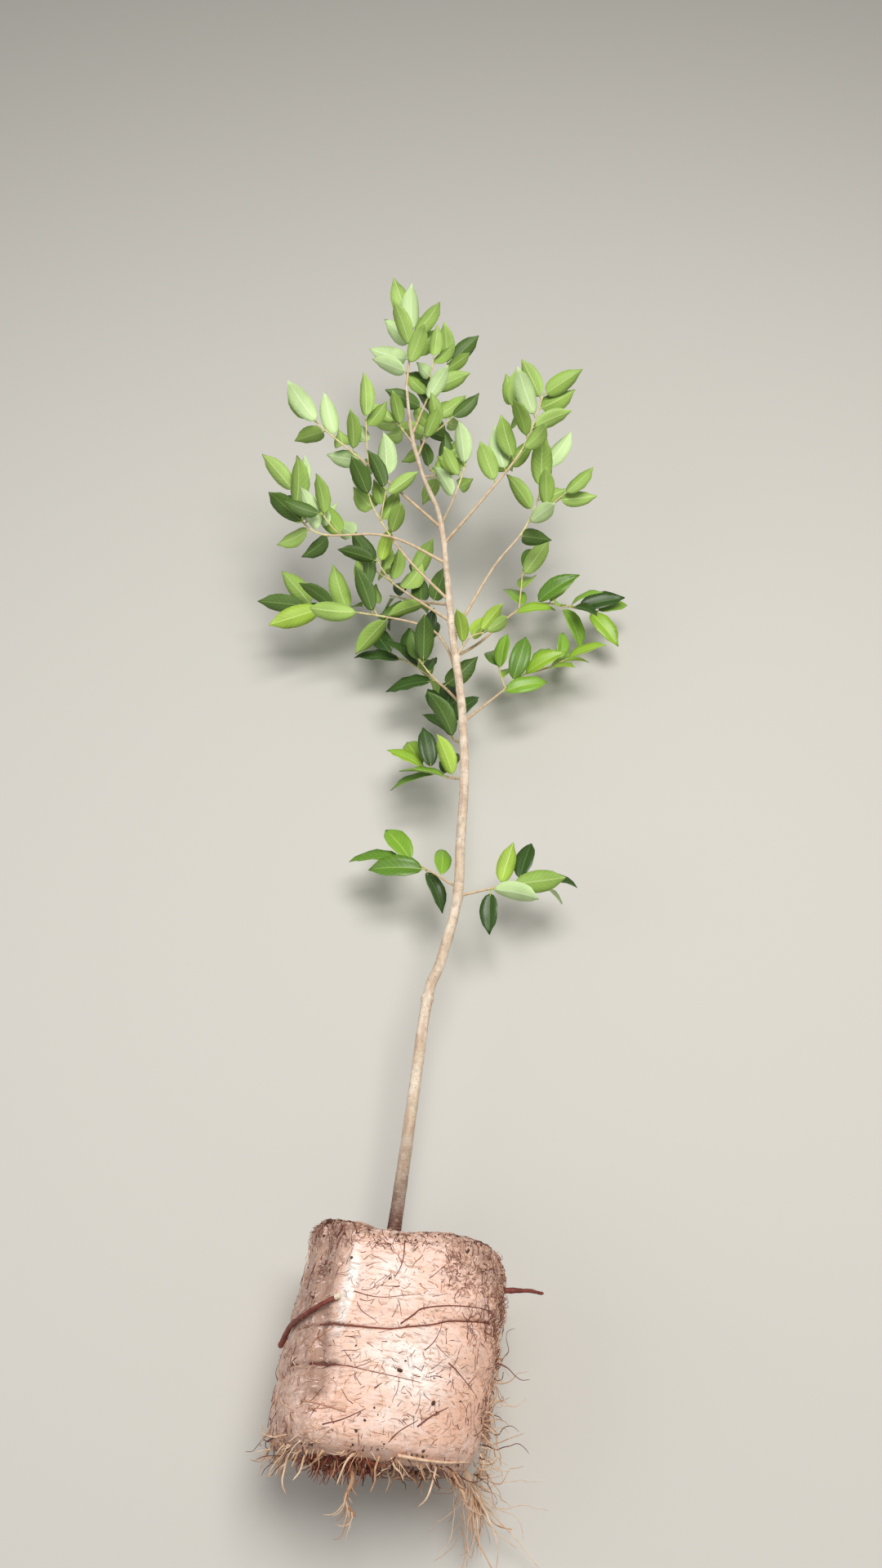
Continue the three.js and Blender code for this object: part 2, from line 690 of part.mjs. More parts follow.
function tuftSolid() {
  const draw = random(tuft.seed);
  const foot = onBall(tuft.angle, tuft.along, shareAt(tuft.along), tuft.clear);
  const neck = new Way([foot, ...tuft.neck.map((point) => vector(point).add(foot))], 6);
  let body = limbSolid(neck, 0, neck.length, taperedTo(neck, tuft.thick, 2.4), 6, 6);
  for (let i = 0; i < tuft.strands; i += 1) {
    const start = neck.at(neck.length * (0.5 + 0.5 * draw()));
    const [from, to] = tuft.swing;
    const swing = radians(from + (to - from) * (i + draw()) / tuft.strands);
    const heading = new THREE.Vector3(Math.cos(swing), Math.sin(swing), -0.1);
    const length = tuft.length[0] + (tuft.length[1] - tuft.length[0]) * draw();
    const way = strandWay(start, heading, length, draw);
    body = body.add(strandSolid(way, tuft.strandThick, tuft.strandThin));
  }
  return largest(body);
}

group.add(mesh('root_cut', cutRootSolid(), colours.root, 0.6));
group.add(mesh('root_stub', stubSolid(), colours.root, 0.6));
group.add(mesh('root_fringe', fringeSolid(), colours.fibre, 0.8));
group.add(mesh('root_tuft', tuftSolid(), colours.fibre, 0.8));

export default group;
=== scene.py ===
import math

import bmesh
import bpy
import numpy as np
from mathutils import Euler, Matrix, noise


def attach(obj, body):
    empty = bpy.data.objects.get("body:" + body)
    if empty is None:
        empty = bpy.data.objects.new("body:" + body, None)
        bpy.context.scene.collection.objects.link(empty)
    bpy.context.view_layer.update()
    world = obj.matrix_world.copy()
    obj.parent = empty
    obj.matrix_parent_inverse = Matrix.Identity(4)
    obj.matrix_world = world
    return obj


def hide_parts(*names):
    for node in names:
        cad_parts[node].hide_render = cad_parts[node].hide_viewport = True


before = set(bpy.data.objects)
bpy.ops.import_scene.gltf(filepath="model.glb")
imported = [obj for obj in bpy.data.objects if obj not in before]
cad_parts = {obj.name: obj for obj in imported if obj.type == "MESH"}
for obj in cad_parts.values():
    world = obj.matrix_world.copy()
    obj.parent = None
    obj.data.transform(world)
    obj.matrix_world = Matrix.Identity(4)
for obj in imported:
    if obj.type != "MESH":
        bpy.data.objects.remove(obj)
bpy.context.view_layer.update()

# Lengths in the dictionaries are in millimetres, and the meshes are in metres.
metre = 0.001
floorGap = 3.0

# Camera: above the foot of the bag, looking down along the trunk; its place is in metres
view = {"location": (0.07764, -0.23975, 1.42), "tilt": 35.0, "turn": 6.5, "lens": 29.25,
        "sensor": 36}
camera = bpy.data.objects.new("camera", bpy.data.cameras.new("camera"))
camera.location = view["location"]
camera.rotation_euler = (math.radians(view["tilt"]), 0, math.radians(view["turn"]))
camera.data.lens, camera.data.sensor_width = view["lens"], view["sensor"]
bpy.context.scene.collection.objects.link(camera)
bpy.context.scene.camera = camera


# Small helpers

def vec(*numbers):
    return np.array(numbers, float)


def unit(vector):
    return vector / np.linalg.norm(vector)


def drawer(seed):
    # mulberry32, the generator of the part's source
    state = seed & 0xFFFFFFFF

    def draw():
        nonlocal state
        state = (state + 0x6D2B79F5) & 0xFFFFFFFF
        mixed = (state ^ (state >> 15)) * (state | 1) & 0xFFFFFFFF
        mixed ^= (mixed + (mixed ^ (mixed >> 7)) * (mixed | 61)) & 0xFFFFFFFF
        return (mixed ^ (mixed >> 14)) / 4294967296

    return draw


def pick(draw, span):
    # a plain number stays; a span is drawn between its two, and a power over 1 favours the first
    if not isinstance(span, tuple):
        return span
    low, high, power = (*span, 1)[:3]
    return low + (high - low) * draw() ** power


def smooth(low, high, value):
    share = np.clip((np.asarray(value, float) - low) / (high - low), 0, 1)
    return share * share * (3 - 2 * share)


def linear(hexColour):
    parts = [int(hexColour[i:i + 2], 16) / 255 for i in (1, 3, 5)]
    return [p / 12.92 if p <= 0.04045 else ((p + 0.055) / 1.055) ** 2.4 for p in parts] + [1]


class Way:
    # a smooth way through points, read by distance from its start
    def __init__(self, points, pieces=24):
        points = [np.asarray(p, float) for p in points]
        spans = len(points) - 1
        held = [2 * points[0] - points[1], *points, 2 * points[-1] - points[-2]]
        made = []
        for k in range(pieces * spans + 1):
            place = spans * k / (pieces * spans)
            i = min(int(place), spans - 1)
            w = place - i
            p0, p1, p2, p3 = held[i:i + 4]
            t0, t1 = 0.5 * (p2 - p0), 0.5 * (p3 - p1)
            made.append(p1 + t0 * w + (3 * (p2 - p1) - 2 * t0 - t1) * w * w
                        + (2 * (p1 - p2) + t0 + t1) * w ** 3)
        self.points = np.array(made)
        self.steps = np.diff(self.points, axis=0)
        lengths = np.linalg.norm(self.steps, axis=1)
        self.reach = np.concatenate([[0], np.cumsum(lengths)])
        self.length = float(self.reach[-1])

    def place(self, distance):
        i = int(np.searchsorted(self.reach[1:], distance, side="left"))
        return min(i, len(self.steps) - 1)

    def at(self, distance):
        i = self.place(distance)
        share = (distance - self.reach[i]) / (self.reach[i + 1] - self.reach[i])
        return self.points[i] + share * self.steps[i]

    def heading(self, distance):
        return unit(self.steps[self.place(distance)])


# The plant's plan: trunk, limbs and leaves, as in the part's source

trunk = {
    "way": [
        (-13, 88, 94), (-11, 183, 97), (-10, 260, 102), (-8, 379, 110), (2, 425, 114),
        (12, 504, 120), (8, 579, 127), (3, 670, 135), (-12, 777, 145), (-34, 877, 155),
        (-54, 983, 167), (-75, 1079, 177), (-107, 1150, 185), (-133, 1229, 194),
        (-152, 1320, 205),
    ],
    "girth": [
        (0, 9.6), (16, 7.9), (60, 6.9), (200, 6.1), (284, 6.1), (290, 7.1), (297, 6), (510, 5.8),
        (720, 5.2), (850, 4.4), (905, 4), (985, 3.6), (1120, 2.9), (1240, 2.1),
    ],
}
trunkWay = Way(trunk["way"])


def trunkRadius(distance):
    return np.interp(distance, *zip(*trunk["girth"]))


def limb(name, at, way, thick, bare, leaves, twigs, size, seed, tones, hanging=None):
    return dict(name=name, at=at, way=way, thick=thick, bare=bare, leaves=leaves, twigs=twigs,
                size=size, seed=seed, tones=tones, hanging=hanging)


# at: distance from the soil; bare: share without leaves; tones: leaf tones, dealt out in turn,
# where shaded is painted shade and bright is partly painted light; hanging: distance along the
# stem and direction of an older leaf that hangs back
limbs = [
    limb("left_low_shoot", 432, [(-46, 44, -34), (-74, 62, -46)],
         1.7, 0.15, 3, 0, 62, 265, "shaded fresh grown fresh grown", (72, (0.5, -0.84, -0.2))),
    limb("right_low_shoot", 422, [(42, 28, -20), (86, 54, -36)],
         1.8, 0.3, 5, 0, 58, 372, "shaded pale bright grown shaded", (48, (0.06, -0.97, -0.22))),
    limb("left_lower", 580, [(-28, 28, -36), (-58, 58, -62)],
         1.9, 0.12, 6, 0, 56, 319, "bright fresh shaded grown shaded bright"),
    limb("right_lower", 664, [(28, 72, -44), (76, 158, -78), (112, 184, -92)],
         2.2, 0.42, 5, 2, 64, 135, "bright fresh grown bright fresh"),
    limb("under_lower", 632, [(-18, 34, -34), (-34, 96, -68)],
         1.8, 0.15, 4, 0, 62, 620, "shaded shaded shaded"),
    limb("under_left", 690, [(-32, 62, -40), (-82, 128, -80), (-122, 154, -92)],
         2.2, 0.25, 7, 2, 66, 113, "shaded shaded shaded grown shaded"),
    limb("left_middle", 716, [(-28, 80, -10), (-70, 120, -18), (-186, 150, -36), (-232, 155, -40)],
         2.3, 0.55, 7, 2, 68, 560, "grown shaded fresh grown shaded bright"),
    limb("right_middle", 766, [(26, 60, -38), (90, 176, -78), (184, 186, -92)],
         2.4, 0.5, 7, 2, 62, 816, "bright fresh grown bright fresh shaded"),
    limb("right_long", 798, [(42, 116, 14), (78, 172, 34), (95, 222, 54), (98, 270, 68)],
         2.3, 0.56, 7, 1, 61, 466, "grown fresh grown shaded pale"),
    # its bright leaves are partly painted light
    limb("right_bright", 764, [(16, 30, 8), (34, 36, 14)],
         1.5, 0.1, 3, 0, 52, 80, "bright bright bright fresh"),
    limb("left_inner", 822, [(-72, 70, -24), (-128, 122, -34)],
         2.3, 0.5, 4, 1, 62, 202, "grown bright shaded fresh"),
    limb("under_middle", 850, [(-48, 44, -46), (-92, 78, -76)],
         2.2, 0.2, 8, 2, 62, 21, "shaded grown shaded"),
    limb("left_upper", 856, [(-66, 66, 8), (-112, 112, 38), (-130, 142, 54)],
         2.2, 0.56, 4, 1, 56, 638, "grown fresh shaded grown"),
    limb("left_long", 920, [(-58, 22, 12), (-100, 22, 22), (-172, 12, 24), (-212, 48, 22),
                            (-222, 88, 26)],
         2.3, 0.42, 10, 2, 63, 1492, "pale grown shaded pale fresh shaded"),
    limb("right_upper", 954, [(44, 40, 42), (90, 100, 77), (106, 138, 97), (117, 190, 112)],
         2.4, 0.35, 9, 2, 63, 609, "grown fresh pale grown fresh"),
    limb("right_spur", 988, [(16, 22, 34), (26, 64, 52)],
         1.8, 0.3, 4, 0, 52, 767, "pale grown fresh grown"),
    limb("left_top", 982, [(-80, 34, 48), (-160, 80, 78), (-190, 102, 86)],
         2.4, 0.36, 8, 1, 63, 106, "pale grown fresh pale grown"),
    limb("under_top", 1080, [(22, 52, -40), (30, 98, -56)],
         2.0, 0.15, 6, 1, 56, 27, "grown shaded grown fresh"),
    limb("back_upper", 1118, [(8, 88, -18), (16, 130, -20)],
         2.0, 0.15, 8, 1, 54, 485, "grown fresh shaded grown"),
    limb("left_spur", 1142, [(-18, 22, 6), (-30, 38, 8)],
         1.5, 0.3, 3, 0, 52, 600, "fresh grown fresh"),
    limb("back_top", 1162, [(16, 132, -14), (36, 180, -6)],
         2.1, 0.3, 8, 1, 54, 1069, "pale grown fresh shaded"),
    limb("leader", None, [(-3, 64, 6), (-5, 128, 14)],
         2.2, 0.1, 9, 0, 66, 1389, "pale fresh pale grown fresh"),
]
boughShare = 0.34
stemTip = 1.0

# outline: fullness, then how bluntly a blade opens and closes; varies: least share, and what
# chance adds to it
leaf = {
    "width": 0.44, "petiole": 6.0, "petioleRadius": 0.8, "thick": 0.42,
    "outline": (1.31, 0.62, 0.78),
    "varies": {"size": (0.84, 0.28), "width": (0.92, 0.16), "fold": (0.6, 0.8), "arch": (0.5, 1)},
}
posture = {
    "spread": 52, "closing": 18, "lift": 30, "spiral": 137.5, "jitter": 30, "upright": 21.5,
    "lying": 100, "fold": 16, "arch": 34, "first": 0.4, "crowding": 0.85, "tipSpread": 12,
    "beyond": 6,
    "turns": [0, 24, -24, 48, -48, 72, -72, 100, -100, 130, -130, 160],
}
room = {"own": 6.5, "others": 10, "limb": 4.5, "step": 14}
twig = {
    "length": (34, 62), "radius": 1.2, "tip": 0.9, "spread": 48, "jitter": 70, "bend": 0.12,
    "clear": 12, "region": 0.8, "bare": 0.3, "leaves": 2, "leafShare": 0.9, "meanRadius": 0.8,
    "first": 0.35, "scatter": 0.2, "beyond": 4,
}
seedStep = {"twigs": 1009, "stem": 3001, "shoots": 5003, "hanging": 7001, "shoot": 211, "leaf": 17,
            "tip": 7, "blade": 77}
axisUp = vec(0, 1, 0)
light = vec(0, 0.72, -0.69)
pressed = vec(0, 0.3, 0.95)

growth = {"lines": [], "blades": []}


def isUpright(way):
    return way.heading(0) @ axisUp > math.cos(math.radians(posture["upright"]))


def guideOf(way):
    if isUpright(way):
        return vec(1, 0, 0)
    return pressed if way.at(way.length)[2] < posture["lying"] else axisUp


def turned(heading, guide, spread, around):
    side = unit(np.cross(heading, guide))
    lift = np.cross(side, heading)
    spread, around = math.radians(spread), math.radians(around)
    return (heading * math.cos(spread) + side * math.sin(spread) * math.cos(around)
            + lift * math.sin(spread) * math.sin(around))


def bladePoints(blade, share, across):
    # points of a blade by share of its length and of its half width, -1 to 1, and its normals
    share, across = np.asarray(share, float), np.asarray(across, float)
    bend = blade["arch"] * share
    mean = bend / 2 - blade["arch"] / 3
    local = bend - blade["arch"] / 3
    reach = blade["length"] * share
    heading, upper, side = blade["heading"], blade["upper"], blade["side"]
    normal = np.outer(np.cos(local), upper) + np.outer(np.sin(local), heading)
    full, opening, closing = leaf["outline"]
    half = blade["length"] * blade["width"] * full * share ** opening * (1 - share) ** closing
    middle = (blade["foot"] + np.outer(reach * np.cos(mean), heading)
              - np.outer(reach * np.sin(mean), upper))
    wide = np.outer(across * half * math.cos(blade["fold"]), side)
    rise = (np.abs(across) * half * math.sin(blade["fold"]))[:, None] * normal
    return middle + wide + rise, normal, half


def makeBlade(foot, heading, draws, size):
    forward = unit(heading)
    facing = pressed if foot[2] + forward[2] * size / 2 < posture["lying"] else light
    upper = unit(facing - forward * (facing @ forward))
    side = np.cross(forward, upper)
    roll = math.radians(posture["jitter"]) * (2 * draws["roll"] - 1)
    rolled = upper * math.cos(roll) + side * math.sin(roll)
    part = {k: least + more * draws[k] for k, (least, more) in leaf["varies"].items()}
    return {
        "stem": foot, "foot": foot + forward * leaf["petiole"], "heading": forward,
        "upper": rolled, "side": np.cross(forward, rolled),
        "length": size * part["size"], "width": leaf["width"] * part["width"],
        "fold": math.radians(posture["fold"]) * part["fold"],
        "arch": math.radians(posture["arch"]) * part["arch"],
    }


# a blade is tested at eight rows of three spots; its first rows may come near its own stem
sampleShares = np.repeat([0.05, 0.18, 0.31, 0.44, 0.57, 0.7, 0.83, 0.97], 3)
sampleAcross = np.tile([-0.85, 0, 0.85], 8)
centreSpot, freeFrom = 12, 6


def toLine(points, line):
    # distance of each point from a line's surface
    a, span = line["points"][:-1], np.diff(line["points"], axis=0)
    offset = points[:, None, :] - a[None]
    share = np.clip((offset * span).sum(2) / (span * span).sum(1), 0, 1)
    gaps = np.linalg.norm(offset - share[..., None] * span, axis=2)
    return gaps.min(1) - line["radius"]


def isClear(blade, owner, stemLine):
    samples = bladePoints(blade, sampleShares, sampleAcross)[0]
    if (samples[:, 2] < floorGap).any():
        return False
    centre = samples[centreSpot]
    for other in growth["blades"]:
        if np.linalg.norm(other["centre"] - centre) > other["length"] + blade["length"]:
            continue
        need = room["own"] if other["owner"] == owner else room["others"]
        gaps = np.linalg.norm(other["samples"][:, None] - samples[None], axis=2)
        if gaps.min() < need:
            return False
    for line in growth["lines"]:
        own = line is stemLine
        need = room["limb"] / 2 if own else room["limb"]
        if toLine(samples[freeFrom:] if own else samples, line).min() <= need:
            return False
    return True


def leafDraws(seed):
    draw = drawer(seed)
    return {k: draw() for k in ("round", "spread", "roll", "size", "width", "fold", "arch")}


def keepIfClear(blade, owner, stem, seed):
    if not isClear(blade, owner, stem["line"]):
        return False
    blade["owner"], blade["seed"] = owner, seed
    blade["samples"] = bladePoints(blade, sampleShares, sampleAcross)[0]
    blade["centre"] = blade["samples"][centreSpot]
    growth["blades"].append(blade)
    return True


def addLeaf(stem, distance, around, spread, size, owner, seed):
    draws = leafDraws(seed)
    foot, heading = stem["way"].at(distance), stem["way"].heading(distance)
    for turn in posture["turns"]:
        angle = around + turn + posture["jitter"] * (2 * draws["round"] - 1)
        opening = spread + posture["jitter"] * (draws["spread"] - 0.5) + abs(turn) / 8
        blade = makeBlade(foot, turned(heading, stem["guide"], opening, angle), draws, size)
        if keepIfClear(blade, owner, stem, seed):
            return


def addStemLeaves(stem, first, count, size, owner, seed):
    reach = stem["way"].length
    for i in range(count):
        share = (i + posture["first"]) / count
        if stem["upright"]:
            around = posture["spiral"] * i
        else:
            around = 180 - posture["lift"] if i % 2 else posture["lift"]
        addLeaf(stem, first + (reach - first) * share ** posture["crowding"], around,
                posture["spread"] - posture["closing"] * share, size, owner,
                seed + seedStep["leaf"] * i)
    addLeaf(stem, reach - 1, 90, posture["tipSpread"], size, owner, seed + seedStep["tip"])


def stemLine(way, radius):
    count = max(2, math.ceil(way.length / room["step"]))
    points = np.array([way.at(way.length * i / count) for i in range(count + 1)])
    return {"points": points, "radius": radius}


def growStem(row):
    foot = trunkWay.at(trunkWay.length if row["at"] is None else row["at"])
    way = Way([foot, *[foot + vec(*p) for p in row["way"]]])
    line = stemLine(way, row["thick"] * twig["meanRadius"])
    growth["lines"].append(line)
    row["stem"] = {"way": way, "upright": isUpright(way), "guide": guideOf(way), "line": line}
    row["start"], row["shoots"] = row["bare"] * way.length, []


def growTwigs(row):
    draw, way, start = drawer(row["seed"] * seedStep["twigs"]), row["stem"]["way"], row["start"]
    others = [line for line in growth["lines"] if line is not row["stem"]["line"]]
    for i in range(row["twigs"]):
        share = (i + twig["first"] + twig["scatter"] * draw()) / row["twigs"]
        distance = start + (way.length - start) * twig["region"] * share + twig["beyond"]
        around = ((posture["lift"] if i % 2 else 180 - posture["lift"])
                  + twig["jitter"] * (draw() - 0.5))
        heading = turned(way.heading(distance), row["stem"]["guide"], twig["spread"], around)
        reach = pick(draw, twig["length"])
        foot = way.at(distance)
        tip = foot + heading * reach + axisUp * twig["bend"] * reach
        tip[2] = max(tip[2], floorGap + twig["clear"])
        side = Way([foot, foot + heading * reach / 2, tip], 8)
        line = stemLine(side, twig["radius"])
        need = room["limb"] + twig["radius"]
        if all((toLine(line["points"], other) > need).all() for other in others):
            growth["lines"].append(line)
            row["shoots"].append({"way": side, "upright": False, "guide": guideOf(side),
                                  "line": line})


def growLeaves(row):
    if row["hanging"]:
        at, toward = row["hanging"]
        seed = row["seed"] * seedStep["hanging"]
        blade = makeBlade(row["stem"]["way"].at(at), vec(*toward), leafDraws(seed), row["size"])
        keepIfClear(blade, row["name"], row["stem"], seed)
    for i, side in enumerate(row["shoots"]):
        addStemLeaves(side, side["way"].length * twig["bare"], twig["leaves"],
                      row["size"] * twig["leafShare"], row["name"],
                      row["seed"] * seedStep["shoots"] + seedStep["shoot"] * i)
    addStemLeaves(row["stem"], row["start"] + posture["beyond"], row["leaves"], row["size"],
                  row["name"], row["seed"] * seedStep["stem"])


growth["lines"].append(stemLine(trunkWay, trunkRadius(trunkWay.length / 2)))
for grow in (growStem, growTwigs, growLeaves):
    for row in limbs:
        grow(row)
print("grown:", len(growth["blades"]), "leaves on", len(growth["lines"]), "stems")


# Materials

def addNode(tree, kind, inputs=None, stops=None, **settings):
    # an input is a number, a hex colour or the socket that feeds it; stops are a ramp's grey levels
    node = tree.nodes.new("ShaderNode" + kind)
    for name, value in settings.items():
        setattr(node, name, value)
    if stops:
        while len(node.color_ramp.elements) < len(stops):
            node.color_ramp.elements.new(1)
        for element, (place, level) in zip(node.color_ramp.elements, stops):
            element.position = place
            element.color = [level] * 3 + [1]
    for socket, value in (inputs or {}).items():
        if isinstance(value, bpy.types.NodeSocket):
            tree.links.new(value, node.inputs[socket])
        else:
            node.inputs[socket].default_value = linear(value) if isinstance(value, str) else value
    return node


def newMaterial(name, colour, roughness, ior=1.45, **others):
    material = bpy.data.materials.new(name)
    material.use_nodes = True
    tree = material.node_tree
    tree.nodes.clear()
    shader = addNode(tree, "BsdfPrincipled", {
        "Base Color": colour, "Roughness": roughness, "IOR": ior,
        **{socket.replace("_", " "): value for socket, value in others.items()},
    })
    addNode(tree, "OutputMaterial", {"Surface": shader.outputs["BSDF"]})
    return material, tree, shader


def layered(tree, colour, layers):
    # lays patches over a colour, layer by layer. A layer has where it is read, the size of a patch
    # in mm, the detail and roughness of its noise, the levels between which it sets in, the most
    # that shows, and its colour
    for place, size, detail, roughness, low, high, most, over in layers:
        patches = addNode(tree, "TexNoise", {"Vector": place, "Scale": 1000 / size,
                                             "Detail": detail, "Roughness": roughness})
        share = addNode(tree, "ValToRGB", {"Fac": patches.outputs["Fac"]},
                        stops=[(low, 0), (high, most)])
        colour = addNode(tree, "Mix", {0: share.outputs["Color"], 6: colour, 7: over},
                         data_type="RGBA").outputs[2]
    return colour


def withRelief(made, colour, place, size, detail, roughness, depth, strength):
    # gives a new material its colour and fine relief, with size and depth in mm
    material, tree, shader = made
    tree.links.new(colour, shader.inputs["Base Color"])
    height = addNode(tree, "TexNoise", {"Vector": place, "Scale": 1000 / size, "Detail": detail,
                                        "Roughness": roughness}).outputs["Fac"]
    bump = addNode(tree, "Bump", {"Height": height, "Distance": depth * metre,
                                  "Strength": strength})
    tree.links.new(bump.outputs["Normal"], shader.inputs["Normal"])
    return material


# Smooth thin bark: tan with grey-beige patches, dark near the soil, with pores across the stem
bark = {"tan": "#D2BEA4", "pale": "#E8DAC6", "grey": "#B3A290", "soil": "#573227",
        "pore": "#7D6450", "scuff": "#A57B6A", "streak": "#BC9482",
        "foot": [(0.085, 1.0), (0.108, 0.8), (0.135, 0.42), (0.22, 0.0)]}


def barkMaterial():
    made = newMaterial("thin_bark", bark["tan"], 0.72)
    tree = made[1]
    place = addNode(tree, "Attribute", attribute_name="straight").outputs["Vector"]
    across, length = [
        addNode(tree, "Mapping", {"Vector": place, "Scale": (stretch, 1, 1)}).outputs["Vector"]
        for stretch in (3.2, 0.12)
    ]
    # pores are lines about 3 mm long across the stem, 0.5 mm wide in life and drawn 1 mm wide;
    # pinkish streaks run 3 cm along it
    colour = layered(tree, bark["tan"], [
        (place, 22, 3, 0.55, 0.38, 0.62, 1.0, bark["pale"]),
        (place, 9, 3, 0.55, 0.5, 0.7, 0.75, bark["grey"]),
        (across, 3.2, 2, 0.55, 0.6, 0.72, 0.8, bark["pore"]),
        (length, 3.6, 3, 0.55, 0.5, 0.66, 0.55, bark["streak"]),
    ])
    # soil darkens the foot, up to a line that wanders by 3 or 4 cm
    along = addNode(tree, "SeparateXYZ", {"Vector": place}).outputs["X"]
    wander = addNode(tree, "TexNoise", {"Vector": place, "Scale": 1000 / 18, "Detail": 3,
                                        "Roughness": 0.55}).outputs["Fac"]
    reach = addNode(tree, "Math", {0: wander, 1: 0.09, 2: along}, operation="MULTIPLY_ADD")
    foot = addNode(tree, "ValToRGB", {"Fac": reach.outputs[0]}, stops=bark["foot"])
    soiled = layered(tree, bark["soil"], [(across, 5, 3, 0.55, 0.52, 0.66, 0.8, bark["scuff"])])
    colour = addNode(tree, "Mix", {0: foot.outputs["Color"], 6: colour, 7: soiled},
                     data_type="RGBA").outputs[2]
    return withRelief(made, colour, across, 4, 4, 0.55, 0.9, 1.0)


# Plain surfaces: spots on one colour, and fine relief
surfaces = {
    # thin smooth skin, pinkish tan on boughs, straw yellow on twigs and green on leaf stalks
    "youngBark": {"spots": (8, 3, 0.55, 0.45, 0.68, 0.8), "relief": (2.5, 3, 0.55, 0.12, 0.7)},
    # dark red-brown crumbs of moist potting soil, and porous white grains of perlite
    "soil": {"spots": (5, 5, 0.55, 0.4, 0.7, 1.0), "relief": (3, 5, 0.7, 1.2, 0.9)},
    # finely wrinkled root skin, red-brown where it is old and pale where it is young
    "root": {"spots": (7, 4, 0.55, 0.4, 0.65, 1.0), "relief": (2, 4, 0.55, 0.3, 0.8)},
}
# each plain material: its surface, colour, colour of the spots and roughness
plainLooks = {
    "bough_bark": ("youngBark", "#D6BE9C", "#B89A78", 0.66),
    "twig_bark": ("youngBark", "#DDD29A", "#BFA877", 0.6),
    "petiole_skin": ("youngBark", "#B7C36B", "#9DB257", 0.55),
    "potting_soil": ("soil", "#4A3128", "#7A5340", 0.95),
    "dark_soil_crumb": ("soil", "#4A3028", "#6E4C3C", 0.95),
    "perlite": ("soil", "#E9E6DF", "#D5D0C6", 0.95),
    "red_brown_root_bark": ("root", "#6B2F28", "#8E4A3C", 0.55),
    "cut_root_wood": ("root", "#E9DCC8", "#D8C4A8", 0.8),
    "pale_fine_root": ("root", "#EED3B8", "#D8B392", 0.8),
    "tan_fine_root": ("root", "#D3A885", "#B58565", 0.8),
    "dark_fine_root": ("root", "#6E3A30", "#4F2822", 0.8),
    "red_brown_fine_root": ("root", "#8A4232", "#B46E54", 0.75),
    "dark_root_hair": ("root", "#84473A", "#63352B", 0.8),
    "pale_root_hair": ("root", "#EBCDB2", "#D5AC8C", 0.8),
    "tan_root_hair": ("root", "#C2937A", "#A87762", 0.8),
}


def plainMaterial(name):
    kind, colour, spots, roughness = plainLooks[name]
    made = newMaterial(name, colour, roughness)
    if kind == "soil":
        place = addNode(made[1], "TexCoord").outputs["Object"]
    else:
        place = addNode(made[1], "Attribute", attribute_name="straight").outputs["Vector"]
    spotted = layered(made[1], colour, [(place, *surfaces[kind]["spots"], spots)])
    return withRelief(made, spotted, place, *surfaces[kind]["relief"])


# Living leaf: leathery, with a soft waxy gloss above and a matt pale face below. Side veins leave
# the midrib every 5 mm or so at 50 degrees: eleven pairs on a blade
leafTones = {
    "grown": {"upper": "#5F8A28", "under": "#93B552", "rib": "#86A650", "ribUnder": "#AFC878"},
    "fresh": {"upper": "#7EAC32", "under": "#A8CA66", "rib": "#9DC058", "ribUnder": "#C2DC8C"},
    # bright: a yellow-green young leaf, made lighter as painted light for the glow of sunlit and
    # backlit leaves
    "bright": {"upper": "#90B835", "under": "#A6C848", "rib": "#B0CF5E", "ribUnder": "#C2DC78"},
    # shaded: painted shade, a darker copy of the greens for leaves that lie in the crown's shade
    "shaded": {"upper": "#34521B", "under": "#55732F", "rib": "#54753A", "ribUnder": "#75914E"},
    "pale": {"upper": "#82AC4C", "under": "#C8E4A2", "rib": "#A4C472", "ribUnder": "#DAEFC0"},
}
leafFaces = {"upper": {"name": "_leaf_upper_face", "roughness": 0.4, "coat": 0.22, "vein": -0.15},
             "under": {"name": "_leaf_underside", "roughness": 0.52, "coat": 0.03, "vein": 0.15}}
veins = {"slant": -0.42, "turns": 69.0, "from": 0.82, "shown": 0.4}


def leafMaterial(tone, side, colour, ribs):
    face = leafFaces[side]
    material, tree, shader = newMaterial(tone + face["name"], colour, face["roughness"], 1.42,
                                         Coat_Weight=face["coat"], Coat_Roughness=0.3)
    spots = addNode(tree, "TexCoord").outputs["Object"]
    darker = [part * 0.62 for part in linear(colour)[:3]] + [1]
    blade = layered(tree, colour, [(spots, 48, 2, 0.55, 0.42, 0.66, 0.55, darker)])
    place = addNode(tree, "UVMap", uv_map="leaf").outputs["UV"]
    parts = addNode(tree, "SeparateXYZ", {"Vector": place}).outputs
    wave = parts["Y"]
    for operation, values in (("SUBTRACT", {1: 0.5}), ("ABSOLUTE", {}),
                              ("MULTIPLY_ADD", {1: veins["slant"], 2: parts["X"]}),
                              ("MULTIPLY", {1: veins["turns"]}), ("SINE", {})):
        wave = addNode(tree, "Math", {0: wave, **values}, operation=operation).outputs[0]
    raised = addNode(tree, "ValToRGB", {"Fac": wave}, stops=[(veins["from"], 0), (1, 1)])
    faint = addNode(tree, "Math", {0: raised.outputs["Color"], 1: veins["shown"]},
                    operation="MULTIPLY").outputs[0]
    veined = addNode(tree, "Mix", {0: faint, 6: blade, 7: ribs}, data_type="RGBA")
    tree.links.new(veined.outputs[2], shader.inputs["Base Color"])
    bump = addNode(tree, "Bump", {"Height": raised.outputs["Color"],
                                  "Distance": face["vein"] * metre, "Strength": 0.6})
    tree.links.new(bump.outputs["Normal"], shader.inputs["Normal"])
    return material


